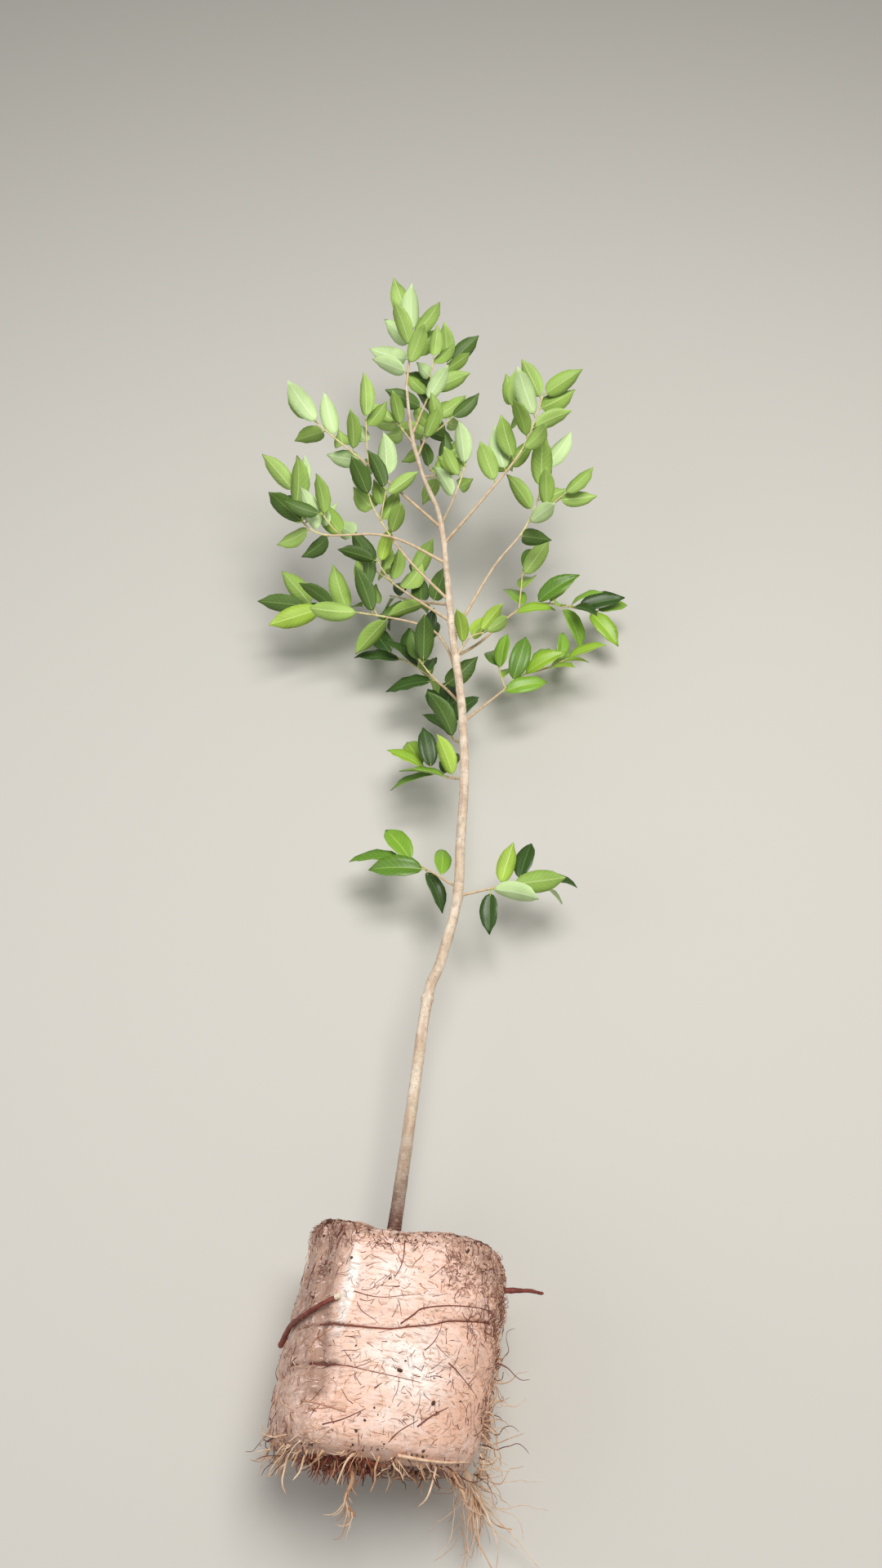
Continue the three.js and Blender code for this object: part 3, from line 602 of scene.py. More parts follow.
# Non-woven bag cloth over moist soil: pinkish peach felt, scuffed white on a fold, stained by
# rust on the right and by earth at its rims and on the left. Painted shade darkens the left panel,
# the lower sides, the creases and the foot's face below the lip, and painted highlight whitens the
# top
cloth = {"peach": "#F2D0C0", "warm": "#F2C5AB", "pink": "#F6DDD6", "wear_and_highlight": "#FFFAF5",
         "rust": "#E09F76", "earth_and_shade": "#A38272", "dark": "#5C3B30", "fibre": "#C08E72"}
# each stain, painted shade and highlight among them: how much of its colour shows at most, and how
# sharply it breaks up
stains = {"rust": (0.85, 0.36, 0.8), "wear_and_highlight": (0.95, 0.42, 0.66), "earth_and_shade": (0.88, 0.42, 0.74),
          "dark": (0.86, 0.48, 0.7)}


def clothMaterial():
    made = newMaterial("felted_bag_cloth", cloth["peach"], 0.92, 1.4, Sheen_Weight=0.12,
                       Sheen_Roughness=0.6)
    tree = made[1]
    place = addNode(tree, "TexCoord").outputs["Object"]
    colour = layered(tree, cloth["peach"], [
        (place, 26, 3, 0.55, 0.35, 0.7, 0.6, cloth["warm"]),
        (place, 12, 4, 0.65, 0.48, 0.66, 0.65, cloth["pink"]),
    ])
    # each stain breaks up over patches of a few millimetres
    blur = addNode(tree, "TexNoise", {"Vector": place, "Scale": 1000 / 10, "Detail": 7,
                                      "Roughness": 0.76}).outputs["Fac"]
    for name, (most, low, high) in stains.items():
        amount = addNode(tree, "Attribute", attribute_name=name).outputs["Fac"]
        broken = addNode(tree, "Math", {0: blur, 1: 1.5, 2: amount}, operation="MULTIPLY_ADD")
        halved = addNode(tree, "Math", {0: broken.outputs[0], 1: 0.5}, operation="MULTIPLY")
        share = addNode(tree, "ValToRGB", {"Fac": halved.outputs[0]},
                        stops=[(low, 0), (high, most)])
        colour = addNode(tree, "Mix", {0: share.outputs["Color"], 6: colour, 7: cloth[name]},
                         data_type="RGBA").outputs[2]
    # fibres of the felt are 0.03 mm thick, drawn as tangled strands 1 mm wide in three directions
    for turn, fibre, most in ((0.5, "fibre", 0.7), (1.6, "pink", 0.7), (2.7, "earth_and_shade", 0.6)):
        lying = addNode(tree, "Mapping", {"Vector": place, "Rotation": (0, 0, turn),
                                          "Scale": (0.2, 1, 0.6)}).outputs["Vector"]
        colour = layered(tree, colour, [(lying, 2.8, 3, 0.6, 0.56, 0.68, most, cloth[fibre])])
    # grime and dark specks of soil
    colour = layered(tree, colour, [
        (place, 5, 6, 0.75, 0.54, 0.76, 0.5, cloth["earth_and_shade"]),
        (place, 3.2, 2, 0.55, 0.69, 0.75, 0.85, cloth["dark"]),
    ])
    return withRelief(made, colour, place, 2.2, 5, 0.75, 0.8, 0.7)


# Making of pieces

def toMesh(name, bm):
    mesh = bpy.data.meshes.new(name)
    bm.to_mesh(mesh)
    bm.free()
    return mesh


def addPiece(name, bm, materials, replaced=()):
    mesh = toMesh(name, bm)
    # a plain material is given by its name
    for material in materials:
        plain = isinstance(material, str)
        mesh.materials.append(plainMaterial(material) if plain else material)
    mesh.polygons.foreach_set("use_smooth", [True] * len(mesh.polygons))
    piece = bpy.data.objects.new(name, mesh)
    bpy.context.scene.collection.objects.link(piece)
    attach(piece, "root")
    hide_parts(*replaced)
    print("piece:", name, len(mesh.polygons), "faces")
    return piece


def placesOf(items, what):
    # places of a mesh's vertices ("co"), or of its faces ("center")
    places = np.empty(3 * len(items))
    items.foreach_get(what, places)
    return places.reshape(-1, 3)


tubes = {}
lowest = 0.4  # no tube goes nearer to the ground


def tubeOf(sides, rings):
    # a closed tube along its Z axis with equal rings, and the ring and angle of each vertex
    if (sides, rings) not in tubes:
        bm = bmesh.new()
        bmesh.ops.create_cone(bm, cap_ends=True, segments=sides, radius1=1, radius2=1, depth=1)
        long = [e for e in bm.edges if abs(e.verts[0].co.z - e.verts[1].co.z) > 0.5]
        bmesh.ops.subdivide_edges(bm, edges=long, cuts=rings - 2)
        mesh = toMesh("tube", bm)
        mesh.attributes.new("straight", "FLOAT_VECTOR", "POINT")
        places = placesOf(mesh.vertices, "co")
        ring = np.rint((places[:, 2] + 0.5) * (rings - 1)).astype(int)
        faceRing = (placesOf(mesh.polygons, "center")[:, 2] + 0.5) * (rings - 1)
        tubes[sides, rings] = (mesh, ring, np.arctan2(places[:, 1], places[:, 0]), faceRing)
    return tubes[sides, rings]


def addTube(bm, way, radiusAt, sides, step, material=0, tipMaterial=None, tipFrom=0.6, relief=None,
            blunt=0.45):
    # a limb of round section along a way; relief adds mm at (distance, angle)
    rings = max(4, math.ceil(way.length / step) + 1)
    mesh, ring, angle, faceRing = tubeOf(sides, rings)
    distances = np.linspace(0, way.length, rings)
    centres = np.array([way.at(d) for d in distances])
    across, frames = None, []
    for d in distances:
        heading = way.heading(d)
        if across is None:
            across = np.cross(vec(0, 0, 1) if abs(heading[2]) < 0.8 else axisUp, heading)
        across = unit(across - heading * (across @ heading))
        frames.append((across, np.cross(heading, across)))
    frames = np.array(frames)
    radii = np.array([radiusAt(d) for d in distances], float)
    radii[-1] *= blunt
    radius = radii[ring]
    if relief is not None:
        radius = radius + relief(distances[ring], angle)
    along, other = np.cos(angle) * radius, np.sin(angle) * radius
    places = centres[ring] + along[:, None] * frames[ring, 0] + other[:, None] * frames[ring, 1]
    places[:, 2] = np.maximum(places[:, 2], lowest)
    mesh.vertices.foreach_set("co", (places * metre).ravel())
    # patterns read the limb as if it were straight, and each limb another part of them
    shift = 40.0 * len(bm.verts) % 977
    straight = np.stack([distances[ring], along + shift, other], 1)
    mesh.attributes["straight"].data.foreach_set("vector", (straight * metre).ravel())
    chosen = np.full(len(faceRing), material)
    if tipMaterial is not None:
        chosen[faceRing > (rings - 1) * tipFrom] = tipMaterial
    mesh.polygons.foreach_set("material_index", chosen)
    bm.from_mesh(mesh)


def tapered(way, thick, thin):
    return lambda d: thick + (thin - thick) * min(1, max(0, d / way.length)) ** 0.8


def rough(places, size, octaves=2, seed=0):
    # Perlin noise at places in mm, about -1 to 1, with lumps of about that size
    return np.array([noise.fractal(p, 0.7, 2.1, octaves)
                     for p in (np.asarray(places) / size + 7.3 * seed).tolist()])


# Trunk

trunkLook = {
    "sides": 40, "step": 2.4, "lump": 0.28, "collar": 1.3, "collarReach": 9,
    "scar": 0.35, "scarEvery": 31, "scarWidth": 1.5, "knot": 0.9, "knotAt": 290, "knotWidth": 3.2,
}


def trunkRelief(distance, angle):
    lumps = np.stack([distance / 3, 6 * np.cos(angle), 6 * np.sin(angle)], 1)
    height = trunkLook["lump"] * rough(lumps, 7, 3, 1)
    # faint leaf scars stand half round the stem, on one side and then the other
    turn = distance / trunkLook["scarEvery"]
    nearest = np.rint(turn)
    beside = np.cos(angle - nearest * math.radians(posture["spiral"]))
    ridge = np.exp(-((turn - nearest) * trunkLook["scarEvery"] / trunkLook["scarWidth"]) ** 2)
    height += trunkLook["scar"] * ridge * smooth(-0.4, 0.7, beside)
    # an old wound has healed to a ring
    knot = np.exp(-((distance - trunkLook["knotAt"]) / trunkLook["knotWidth"]) ** 2)
    height += trunkLook["knot"] * knot * (0.35 + 0.65 * smooth(-0.6, 0.6, np.sin(angle)))
    # the bark swells round the foot of each limb
    for row in limbs:
        if row["at"] is None:
            continue
        at, out = trunkWay.heading(row["at"]), row["stem"]["way"].heading(2)
        across = unit(np.cross(vec(0, 0, 1), at))
        side = math.atan2(out @ np.cross(at, across), out @ across)
        gap = np.hypot(distance - row["at"] + 1, 5 * (1 - np.cos(angle - side)) ** 0.5 * 1.4)
        height += trunkLook["collar"] * np.exp(-(gap / trunkLook["collarReach"] * 2) ** 2)
    return height


bm = bmesh.new()
addTube(bm, trunkWay, trunkRadius, trunkLook["sides"], trunkLook["step"], relief=trunkRelief,
        blunt=0.9)
addPiece("trunk_bark", bm, [barkMaterial()], ["trunk"])


# Boughs and twigs

stemLook = {"sides": 9, "twigSides": 7, "step": 3.2, "node": 0.35, "nodeEvery": 11,
            "nodeWidth": 1.4, "slimmer": 0.1, "youngFrom": 0.62}


def stemRelief(distance, angle):
    turn = distance / stemLook["nodeEvery"]
    beside = (turn - np.rint(turn)) * stemLook["nodeEvery"] / stemLook["nodeWidth"]
    return stemLook["node"] * np.exp(-beside ** 2) - stemLook["slimmer"]


def addStems(rows):
    bm = bmesh.new()
    for row in rows:
        way = row["stem"]["way"]
        addTube(bm, way, tapered(way, row["thick"], stemTip), stemLook["sides"], stemLook["step"],
                tipMaterial=1, tipFrom=stemLook["youngFrom"], relief=stemRelief)
        for side in row["shoots"]:
            addTube(bm, side["way"], tapered(side["way"], twig["radius"], twig["tip"]),
                    stemLook["twigSides"], stemLook["step"], material=1, relief=stemRelief)
    return bm


boughs = ["bough_" + row["name"] for row in limbs if row["bare"] > boughShare]
addPiece("boughs_and_twigs", addStems(limbs), ["bough_bark", "twig_bark"], boughs)


# Leaves

leafLook = {
    "stations": [0.0, 0.07, 0.18, 0.32, 0.47, 0.62, 0.76, 0.88, 1.0],
    "columns": [-1, -0.5, -0.055, 0.055, 0.5, 1],
    "wave": 0.9, "least": 0.35, "groove": 0.3, "midLength": 56, "drip": 0.3,
}


def leafTemplate():
    bm = bmesh.new()
    bm.loops.layers.uv.new("leaf")
    bmesh.ops.create_grid(bm, x_segments=len(leafLook["stations"]) - 1,
                          y_segments=len(leafLook["columns"]) - 1, size=1, calc_uvs=True)
    mesh = toMesh("blade", bm)
    places = placesOf(mesh.vertices, "co")
    share, across = [
        np.array(rows)[np.rint((places[:, i] + 1) / 2 * (len(rows) - 1)).astype(int)]
        for i, rows in enumerate((leafLook["stations"], leafLook["columns"]))
    ]
    isRib = np.abs(placesOf(mesh.polygons, "center")[:, 1]) < 0.1
    return mesh, share, -across, isRib


blank, leafShare, leafAcross, leafRib = leafTemplate()


def addBlade(bm, blade, tone):
    draw = drawer(blade["seed"] + seedStep["blade"])
    phase, waves = 6.28 * draw(), 1.5 + 2 * draw()
    places, normal, half = bladePoints(blade, leafShare, leafAcross)
    # the tip draws in to a drip point, and no row closes to nothing
    narrow = 1 - leafLook["drip"] * smooth(0.8, 0.9, leafShare) * smooth(1.02, 0.9, leafShare)
    beside = leafAcross * (np.maximum(half * narrow, leafLook["least"]) - half)
    # the margin waves, and the midrib lies in a groove
    size = blade["length"] / leafLook["midLength"]
    wave = np.sin(phase + 6.28 * waves * leafShare) * np.abs(leafAcross) ** 2 * leafLook["wave"]
    wave = wave * smooth(0, 0.3, leafShare) * size - leafLook["groove"] * (np.abs(leafAcross) < 0.1)
    places = places + np.outer(beside, blade["side"]) + wave[:, None] * normal
    blank.vertices.foreach_set("co", (places * metre).ravel())
    chosen = np.full(len(leafRib), tone)
    chosen[leafRib] = tone + 2
    blank.polygons.foreach_set("material_index", chosen)
    bm.from_mesh(blank)


# each tone has four materials: upper face, underside, and the midrib on each
toneNames = list(leafTones)
leafMaterials = []
for tone, hues in leafTones.items():
    leafMaterials += [
        leafMaterial(tone, "upper", hues["upper"], hues["rib"]),
        leafMaterial(tone, "under", hues["under"], hues["ribUnder"]),
        newMaterial(tone + "_midrib_above", hues["rib"], 0.5, 1.42)[0],
        newMaterial(tone + "_midrib_below", hues["ribUnder"], 0.6, 1.42)[0],
    ]


def addLeaves(name, owners):
    bm = bmesh.new()
    for row in limbs:
        if row["name"] not in owners:
            continue
        tones = row["tones"].split()
        own = [blade for blade in growth["blades"] if blade["owner"] == row["name"]]
        for i, blade in enumerate(own):
            addBlade(bm, blade, 4 * toneNames.index(tones[i % len(tones)]))
    piece = addPiece(name, bm, leafMaterials, ["foliage_" + owner for owner in owners])
    wall = piece.modifiers.new("thickness", "SOLIDIFY")
    wall.thickness = leaf["thick"] * metre
    wall.offset = -1
    wall.material_offset = wall.material_offset_rim = 1


crown = {
    "top_leaves": ["leader", "back_top", "back_upper", "left_spur", "under_top"],
    "left_leaves": ["left_top", "left_long", "left_upper", "left_inner", "left_middle",
                    "under_left", "under_middle"],
    "right_leaves": ["right_upper", "right_spur", "right_long", "right_bright", "right_middle",
                     "right_lower"],
    "low_leaves": ["left_low_shoot", "right_low_shoot", "left_lower", "under_lower"],
}
for name, owners in crown.items():
    addLeaves(name, owners)


# Petioles and buds

bud = {"reach": 5.5, "thick": 1.25, "thinner": 0.9}


def addLeafStalks():
    bm = bmesh.new()
    for blade in growth["blades"]:
        foot = blade["stem"] + blade["heading"] * 0.3
        middle = bladePoints(blade, [0.1], [0.0])[0][0]
        way = Way([foot, blade["foot"], middle - 0.5 * blade["upper"]], 4)
        addTube(bm, way, lambda d: leaf["petioleRadius"] * (1 - 0.5 * d / way.length), 6, 2.2)
    for row in limbs:
        for stem in [row["stem"], *row["shoots"]]:
            way = stem["way"]
            tip, heading = way.at(way.length - 1), way.heading(way.length - 1)
            way = Way([tip, tip + heading * 2, tip + heading * bud["reach"]], 4)
            addTube(bm, way, lambda d: bud["thick"] - bud["thinner"] * (d / way.length) ** 2,
                    6, 1.1)
    addPiece("petioles_and_buds", bm, ["petiole_skin"])


addLeafStalks()


# Root ball

ball = {
    "radius": 103, "sag": 9, "squareness": 0.03, "corner": 118, "aside": -1.5, "lean": 6,
    "skew": 9, "soilAt": 94,
    "profile": [
        (-91, 0.01), (-92, 0.4), (-90, 0.71), (-85, 0.86), (-76, 0.935), (-61, 0.97),
        (-42, 0.995), (-27, 0.995), (-21, 0.983), (-15, 1), (2, 1.01), (15, 1), (22, 0.972),
        (29, 0.992), (44, 0.995), (62, 0.987), (80, 0.972), (94, 0.945), (99, 0.905), (100, 0.86),
        (95, 0.82), (93, 0.5), (94, 0.2), (95, 0.01),
    ],
    "flaps": [dict(angle=154, width=48, rise=11, share=0.985),
              dict(angle=48, width=40, rise=6, share=0.93)],
    "flapFrom": 80, "flapReach": 14, "innerFrom": 0.82, "innerReach": 0.04, "sideAt": (0.3, 0.85),
    "sides": 300, "rings": 226, "fine": 1.2, "coarse": 3.4, "fineFrom": 0.86, "flatBelow": 1.5,
}
ballHeight = ball["radius"] - ball["sag"]


def shareAt(along):
    # the bag's own part of the profile, without its foot and its soil
    return np.interp(along, *zip(*ball["profile"][3:-5]))


def onBall(degrees, along, share, clear=0.0):
    angle = np.radians(np.asarray(degrees, float))
    corner = np.cos(4 * (angle - math.radians(ball["corner"])))
    radius = ball["radius"] * share * (1 + ball["squareness"] * corner) + clear
    toSoil = along / ball["soilAt"]
    x = radius * np.cos(angle) + ball["aside"] + ball["lean"] * toSoil
    y = along + ball["skew"] * np.cos(angle) * np.maximum(0, 1 - toSoil ** 2)
    z = np.maximum(0, ballHeight + radius * np.sin(angle))
    return np.stack(np.broadcast_arrays(x, y, z), -1)


def onBag(degrees, along, share, clear=0.0, inside=False):
    # a point of the bag's skin, raised where it belongs to a flap of the rim
    part = np.clip(np.where(inside, (share - ball["innerFrom"]) / ball["innerReach"],
                            (along - ball["flapFrom"]) / ball["flapReach"]), 0, 1)
    for flap in ball["flaps"]:
        bump = part * np.maximum(0, 1 - ((degrees - flap["angle"]) / flap["width"]) ** 2)
        along = along + flap["rise"] * bump
        share = share + (flap["share"] - share) * bump
    return onBall(degrees, along, share, clear)


# Folds of the cloth: width and depth in mm, how far the depth fades, and places (angle, along).
# Depth below 0 is a ridge: each long crease has a soft roll of cloth on its foot side.
folds = [
    (1.7, 3.6, 0.5, [(152, 18), (126, 16.5), (107, 12), (91, 10), (79, 13), (65, 17), (56, 22),
     (41, 26), (22, 32)]),
    (4, -1.3, 0.6, [(128, 9), (107, 6), (90, 4), (77, 8), (64, 11)]),
    (1.6, 2.6, 0.8, [(150, -14), (120, -19), (107, -21.5), (95, -25.5), (81, -29), (66, -33)]),
    (4, -1.0, 0.6, [(124, -26), (108, -28), (92, -31)]),
    (8, 4.0, 0.2, [(139, 92), (135, 68), (129, 43), (127, 20)]),
    (2.8, -2.4, 0.1, [(115.5, 84), (114, 62), (112, 34), (110, 18)]),
    (7, 3.8, 0.3, [(124, 10), (121, -14)]),
    (6, 2.6, 0.5, [(119, -24), (117, -44), (113, -60)]),
    (1.6, 0.9, 0.5, [(62, 60), (68, 34), (84, 18)]),
    (1.5, 0.6, 0.5, [(98, 58), (86, 34), (74, 24)]),
    (7, 1.8, 0.3, [(40, 78), (32, 50), (28, 20), (30, -20)]),
    (1.4, 0.8, 0.5, [(110, 42), (93, 37), (74, 44)]),
    (1.6, 1.1, 0.2, [(50, 32), (36, 27), (16, 31)]),
    (1.5, 0.7, 0.5, [(74, -46), (54, -40), (32, -44)]),
    (1.8, 1.0, 0.2, [(112, -82), (88, -86), (60, -87), (30, -82)]),
    (5, 1.0, 0.4, [(96, -66), (84, -74), (62, -78)]),
    (4, 1.8, 0.4, [(172, 60), (152, 44), (142, 30)]),
    (2.2, 1.2, 0.4, [(172, -2), (152, -6), (136, -4)]),
    (2.2, 1.2, 0.4, [(174, -44), (150, -42), (134, -46)]),
]
narrowFolds = [fold for fold in folds if fold[0] < 2.5 and fold[1] > 0]


def foldDepth(degrees, along, chosen):
    # how far the folds sink at places on the ball, in mm
    spots = np.stack([np.radians(degrees) * ball["radius"], along], -1)
    sunk = np.zeros(len(spots))
    for width, depth, fading, places in chosen:
        way = Way([(math.radians(a) * ball["radius"], y, 0) for a, y in places], 8)
        nearest = np.full(len(spots), 1e9)
        fade = np.zeros(len(spots))
        for i, (start, span) in enumerate(zip(way.points[:-1, :2], way.steps[:, :2])):
            share = np.clip((spots - start) @ span / (span @ span), 0, 1)
            gap = np.linalg.norm(spots - start - share[:, None] * span, axis=1)
            closer = gap < nearest
            nearest = np.where(closer, gap, nearest)
            fade = np.where(closer, way.reach[i] / way.length, fade)
        sunk += depth * (1 - fading * fade) * np.exp(-(nearest / width) ** 2)
    return sunk


# Relief of cloth and soil: height and size of its lumps in mm, octaves and seed
ballRelief = {
    "swell": (1.2, 34, 2, 2), "bumps": (0.4, 9, 3, 3), "wrinkles": (0.5, 3.4, 2, 9),
    "calm": (1, 40, 1, 10), "gathers": (0.8, 7, 2, 4), "footFace": (1.4, 16, 3, 5),
    "crumbs": (1.6, 8, 4, 6), "clods": (2.4, 30, 2, 7), "rim": (1.6, 11, 3, 11),
}


def reliefOf(name, places):
    height, size, octaves, seed = ballRelief[name]
    return height * rough(places, size, octaves, seed)


def clothRise(degrees, along):
    # height of the cloth's surface above the plain bag, in mm
    degrees, along = np.broadcast_arrays(np.asarray(degrees, float), np.asarray(along, float))
    flat = onBall(degrees, along, 0.98)
    # fine wrinkles run round the ball, and gathers run down from the rim and up from the foot
    roundwise = np.stack([np.radians(degrees) * ball["radius"] / 5, along, 0 * along], -1)
    lengthwise = np.stack([degrees * 1.9, along * 0.12, 0 * along], -1)
    edges = smooth(45, 95, along) + smooth(-45, -88, along)
    rise = reliefOf("swell", flat) + reliefOf("bumps", flat)
    rise += reliefOf("wrinkles", roundwise) * smooth(-0.5, 0.5, reliefOf("calm", flat))
    rise += edges * reliefOf("gathers", lengthwise)
    return rise - foldDepth(degrees % 360, along, folds)


# Stains of the cloth, some of them painted shade and highlight: amount, place (angle, along), and
# how wide (in degrees) and long it is
stainSpots = {
    # the earth patches on the left panel, from 119 to 152 degrees, are partly painted shade
    "earth_and_shade": [(0.5, 132, 76, 10, 40), (0.34, 152, 70, 22, 50), (0.4, 128, 38, 8, 26),
              (0.56, 121, -8, 9, 20), (0.58, 119, -36, 9, 18), (0.3, 146, 0, 20, 60),
              (0.34, 62, 96, 40, 8), (0.62, 36, 82, 20, 22), (0.46, 104, 97, 36, 8),
              (0.3, 138, -74, 18, 14), (0.12, 20, 60, 12, 30)],
    "rust": [(0.4, 30, -4, 20, 64), (0.3, 46, -56, 26, 22), (0.16, 96, -84, 46, 9),
             (0.2, 150, -30, 18, 50), (0.06, 62, 34, 22, 14), (0.2, 106, -56, 12, 18),
             (0.1, 98, 76, 16, 10), (0.04, 58, 66, 16, 12)],
    # the narrow white stripe at 113.5 degrees is a scuffed fold; the broad pale patches on the top
    # of the ball and towards its foot are painted highlight
    "wear_and_highlight": [(1.3, 113.5, 44, 3, 30), (0.36, 92, 60, 18, 20), (0.34, 82, -6, 24, 26),
             (0.34, 68, -32, 20, 26), (0.24, 78, -64, 20, 10), (0.2, 72, 40, 18, 12)],
    # the dark patches at 126 to 136 degrees are a painted shadow in the valley left of the white
    # fold, and those at 119 to 121 degrees are painted shade in the pockets at the creases' left
    # ends
    "dark": [(0.5, 136, 66, 3, 28), (0.6, 121, 13, 9, 3.5), (0.74, 119, -20, 9, 4),
             (0.24, 121, -42, 4, 8), (0.16, 30, 88, 14, 8), (0.16, 126, 50, 3, 26)],
}


def clothStains(degrees, along, height):
    # amount of each stain at places on the ball, and at their height above its axis
    made = {}
    for name, spots in stainSpots.items():
        made[name] = 0
        for amount, angle, at, wide, long in spots:
            away = (degrees - angle + 180) % 360 - 180
            made[name] += amount * np.exp(-(away / wide) ** 2 - ((along - at) / long) ** 2)
    # the underside and the left panel take the earth colour, partly as earth and partly as painted
    # shade, and soil darkens the rim
    under = smooth(10, -30, np.degrees(np.arcsin(np.sin(np.radians(degrees)))))
    made["earth_and_shade"] += 0.5 * under + 0.24 * smooth(113, 123, degrees) * smooth(210, 180, degrees)
    made["dark"] += 0.34 * smooth(95, 100, along)
    # painted shade darkens and reddens the creases of the narrow folds
    sunk = np.clip(foldDepth(degrees % 360, along, narrowFolds) - 0.7, 0, 2.2)
    # roots and soil redden the foot's face, and its lower part is painted dark, partly as the root
    # mat and partly as painted shadow under the lip, but not its upper rim
    foot = smooth(-87.5, -91, along)
    mat_and_shadow = foot * smooth(62, 40, height)
    made["earth_and_shade"] += 0.5 * mat_and_shadow
    made["rust"] += 0.4 * foot + 0.22 * sunk
    made["wear_and_highlight"] *= 1 - foot
    made["dark"] += 0.26 * sunk + 0.7 * mat_and_shadow
    return made


def addBall():
    mesh, ring, angle, faceRing = tubeOf(ball["sides"], ball["rings"])
    outline = Way([(y, s * ball["radius"], 0) for y, s in ball["profile"]], 10)
    # rings stand closer on the side than on the two faces
    fine = np.linspace(0, outline.length, 1500)
    height = np.array([outline.at(d)[1] for d in fine]) / ball["radius"]
    passed = np.cumsum(1 / np.where(height > ball["fineFrom"], ball["fine"], ball["coarse"]))
    steps = np.interp(np.linspace(passed[0], passed[-1], ball["rings"]), passed, fine)
    line = np.array([outline.at(d) for d in steps])
    along, share = line[ring, 0], line[ring, 1] / ball["radius"]
    degrees = np.degrees(angle) % 360
    rimAt = int(np.argmax(line[:, 0]))
    onCloth = ring <= rimAt
    side = smooth(*ball["sideAt"], share)
    rise = clothRise(degrees, along) * side
    flat = onBall(degrees, along, share)
    places = onBag(degrees, along, share, np.where(onCloth, rise, 0.0), ~onCloth)
    # the foot's face is uneven, the soil has crumbs and clods, and so has the rim
    soil = (reliefOf("crumbs", flat) + reliefOf("clods", flat)) * smooth(0.86, 0.78, share)
    places[:, 1] += (np.where(onCloth, (1 - side) * reliefOf("footFace", flat), soil)
                     + smooth(92, 100, along) * reliefOf("rim", flat))
    # what comes near to the ground lies flat on it
    places[:, 2] = np.where(places[:, 2] < ball["flatBelow"], 0.0, places[:, 2])
    mesh.vertices.foreach_set("co", (places * metre).ravel())
    for name, values in clothStains(degrees, along, places[:, 2] - ballHeight).items():
        layer = mesh.attributes.get(name) or mesh.attributes.new(name, "FLOAT", "POINT")
        layer.data.foreach_set("value", values)
    mesh.polygons.foreach_set("material_index", (faceRing > rimAt).astype(int))
    bm = bmesh.new()
    bm.from_mesh(mesh)
    bmesh.ops.recalc_face_normals(bm, faces=bm.faces)
    return bm


addPiece("bagged_root_ball", addBall(), [clothMaterial(), "potting_soil"],
         ["root_ball"])


# Roots

cutRoot = {"thick": 3.0, "thin": 2.0, "sides": 12, "step": 2, "seat": 3.9,
           "cutThick": 2.544, "cutAt": (-2.8, 0.2, 2.2),
           "way": [(178, 12), (170, 19), (161, 24), (148, 25), (137, 27), (126, 32), (117, 37)]}
stub = {"thick": 3.0, "thin": 1.5, "sides": 10, "step": 2, "angle": 14, "along": 69, "seat": 0.4,
        "way": [(12, 1, 1), (26, 4, -6), (40, 6, -18)]}
fringe = {"share": 0.8, "along": -89.8, "from": -24, "to": 204, "turns": 12, "strands": 16,
          "length": (14, 44, 2), "thick": 1.3, "thin": 0.6, "sides": 6, "step": 3, "seed": 5}
tuft = {"angle": -14, "along": -82, "clear": 2.1, "strands": 9, "swing": (-112, -28),
        "length": (48, 96), "thick": 1.0, "thin": 0.4, "sides": 6, "step": 3, "seed": 9}
tuftNeck = {"way": [(7, -8, -6), (12, -18, -14)], "thick": 3.2, "thin": 2.0, "sides": 8, "step": 2}
# a flattened bundle of roots that hangs from the middle of the foot
bundle = {"foot": (104, -91.5, 0.5), "way": [(3, -16, -6), (-2, -30, -20), (8, -40, -38)],
          "thick": 2.6, "thin": 1.4, "sides": 7, "step": 3}
# Finer roots than the source's, by where they start: on the fringe's ring, at the tuft, at the
# right edge, at the left end of the foot and on the bundle. The whole part of what is drawn from
# kinds picks the material
fineSeed = 41
fineRoots = {
    "ring": dict(count=110, rise=(0, 3), outward=(0.2, 0.9), footward=(-0.6, -1.0), sway=1.1,
                 length=(8, 32, 2), thick=0.55, thin=0.25, kinds=(0, 3), step=3.5),
    "tuft": dict(count=56, start=(0, 1), sway=0.9, length=(26, 84), thick=0.55, thin=0.22,
                 kinds=(0, 1.5)),
    "right": dict(count=84, angle=(-14, 20), share=0.99, along=(-86, 10, 1.5),
                  heading=((0.5, 1.4), (0, -0.9), (0, -0.5)), sway=1.4,
                  length=(12, 58, 1.6), thick=0.65, thin=0.24, kinds=(0, 2.3, 1.3)),
    "left": dict(count=34, angle=(126, 184), share=0.92, along=(-88, -54, 2),
                 heading=((-0.4, -1.4), (-0.6, -1.2), (0, -0.4)), sway=1.3,
                 length=(10, 40, 1.8), thick=0.75, thin=0.25, kinds=(0, 2.2)),
    "bundle": dict(count=14, start=(0.3, 1), heading=((-0.9, 0.9), -1, -0.8), sway=1.2,
                   length=(12, 32), thick=0.85, thin=0.3, kinds=(0, 2)),
}
# the mat on the foot's face: thick on its left half and thin on its right
mats = {"count": 460, "leftShare": 0.72, "left": dict(
    angle=(84, 160), share=(0.2, 0.66, 0.7), along=(-91, -92.5), sway=1.3, sides=5,
    heading=((-1.2, 1.2), (-0.4, -1.2), (-0.3, -0.9)), length=(8, 28, 2), thick=(0.6, 1.2),
    thin=0.3, kinds=(0, 4, 0.45))}
mats["right"] = {**mats["left"], "angle": (14, 88), "length": (5, 25, 2), "kinds": (0, 3)}


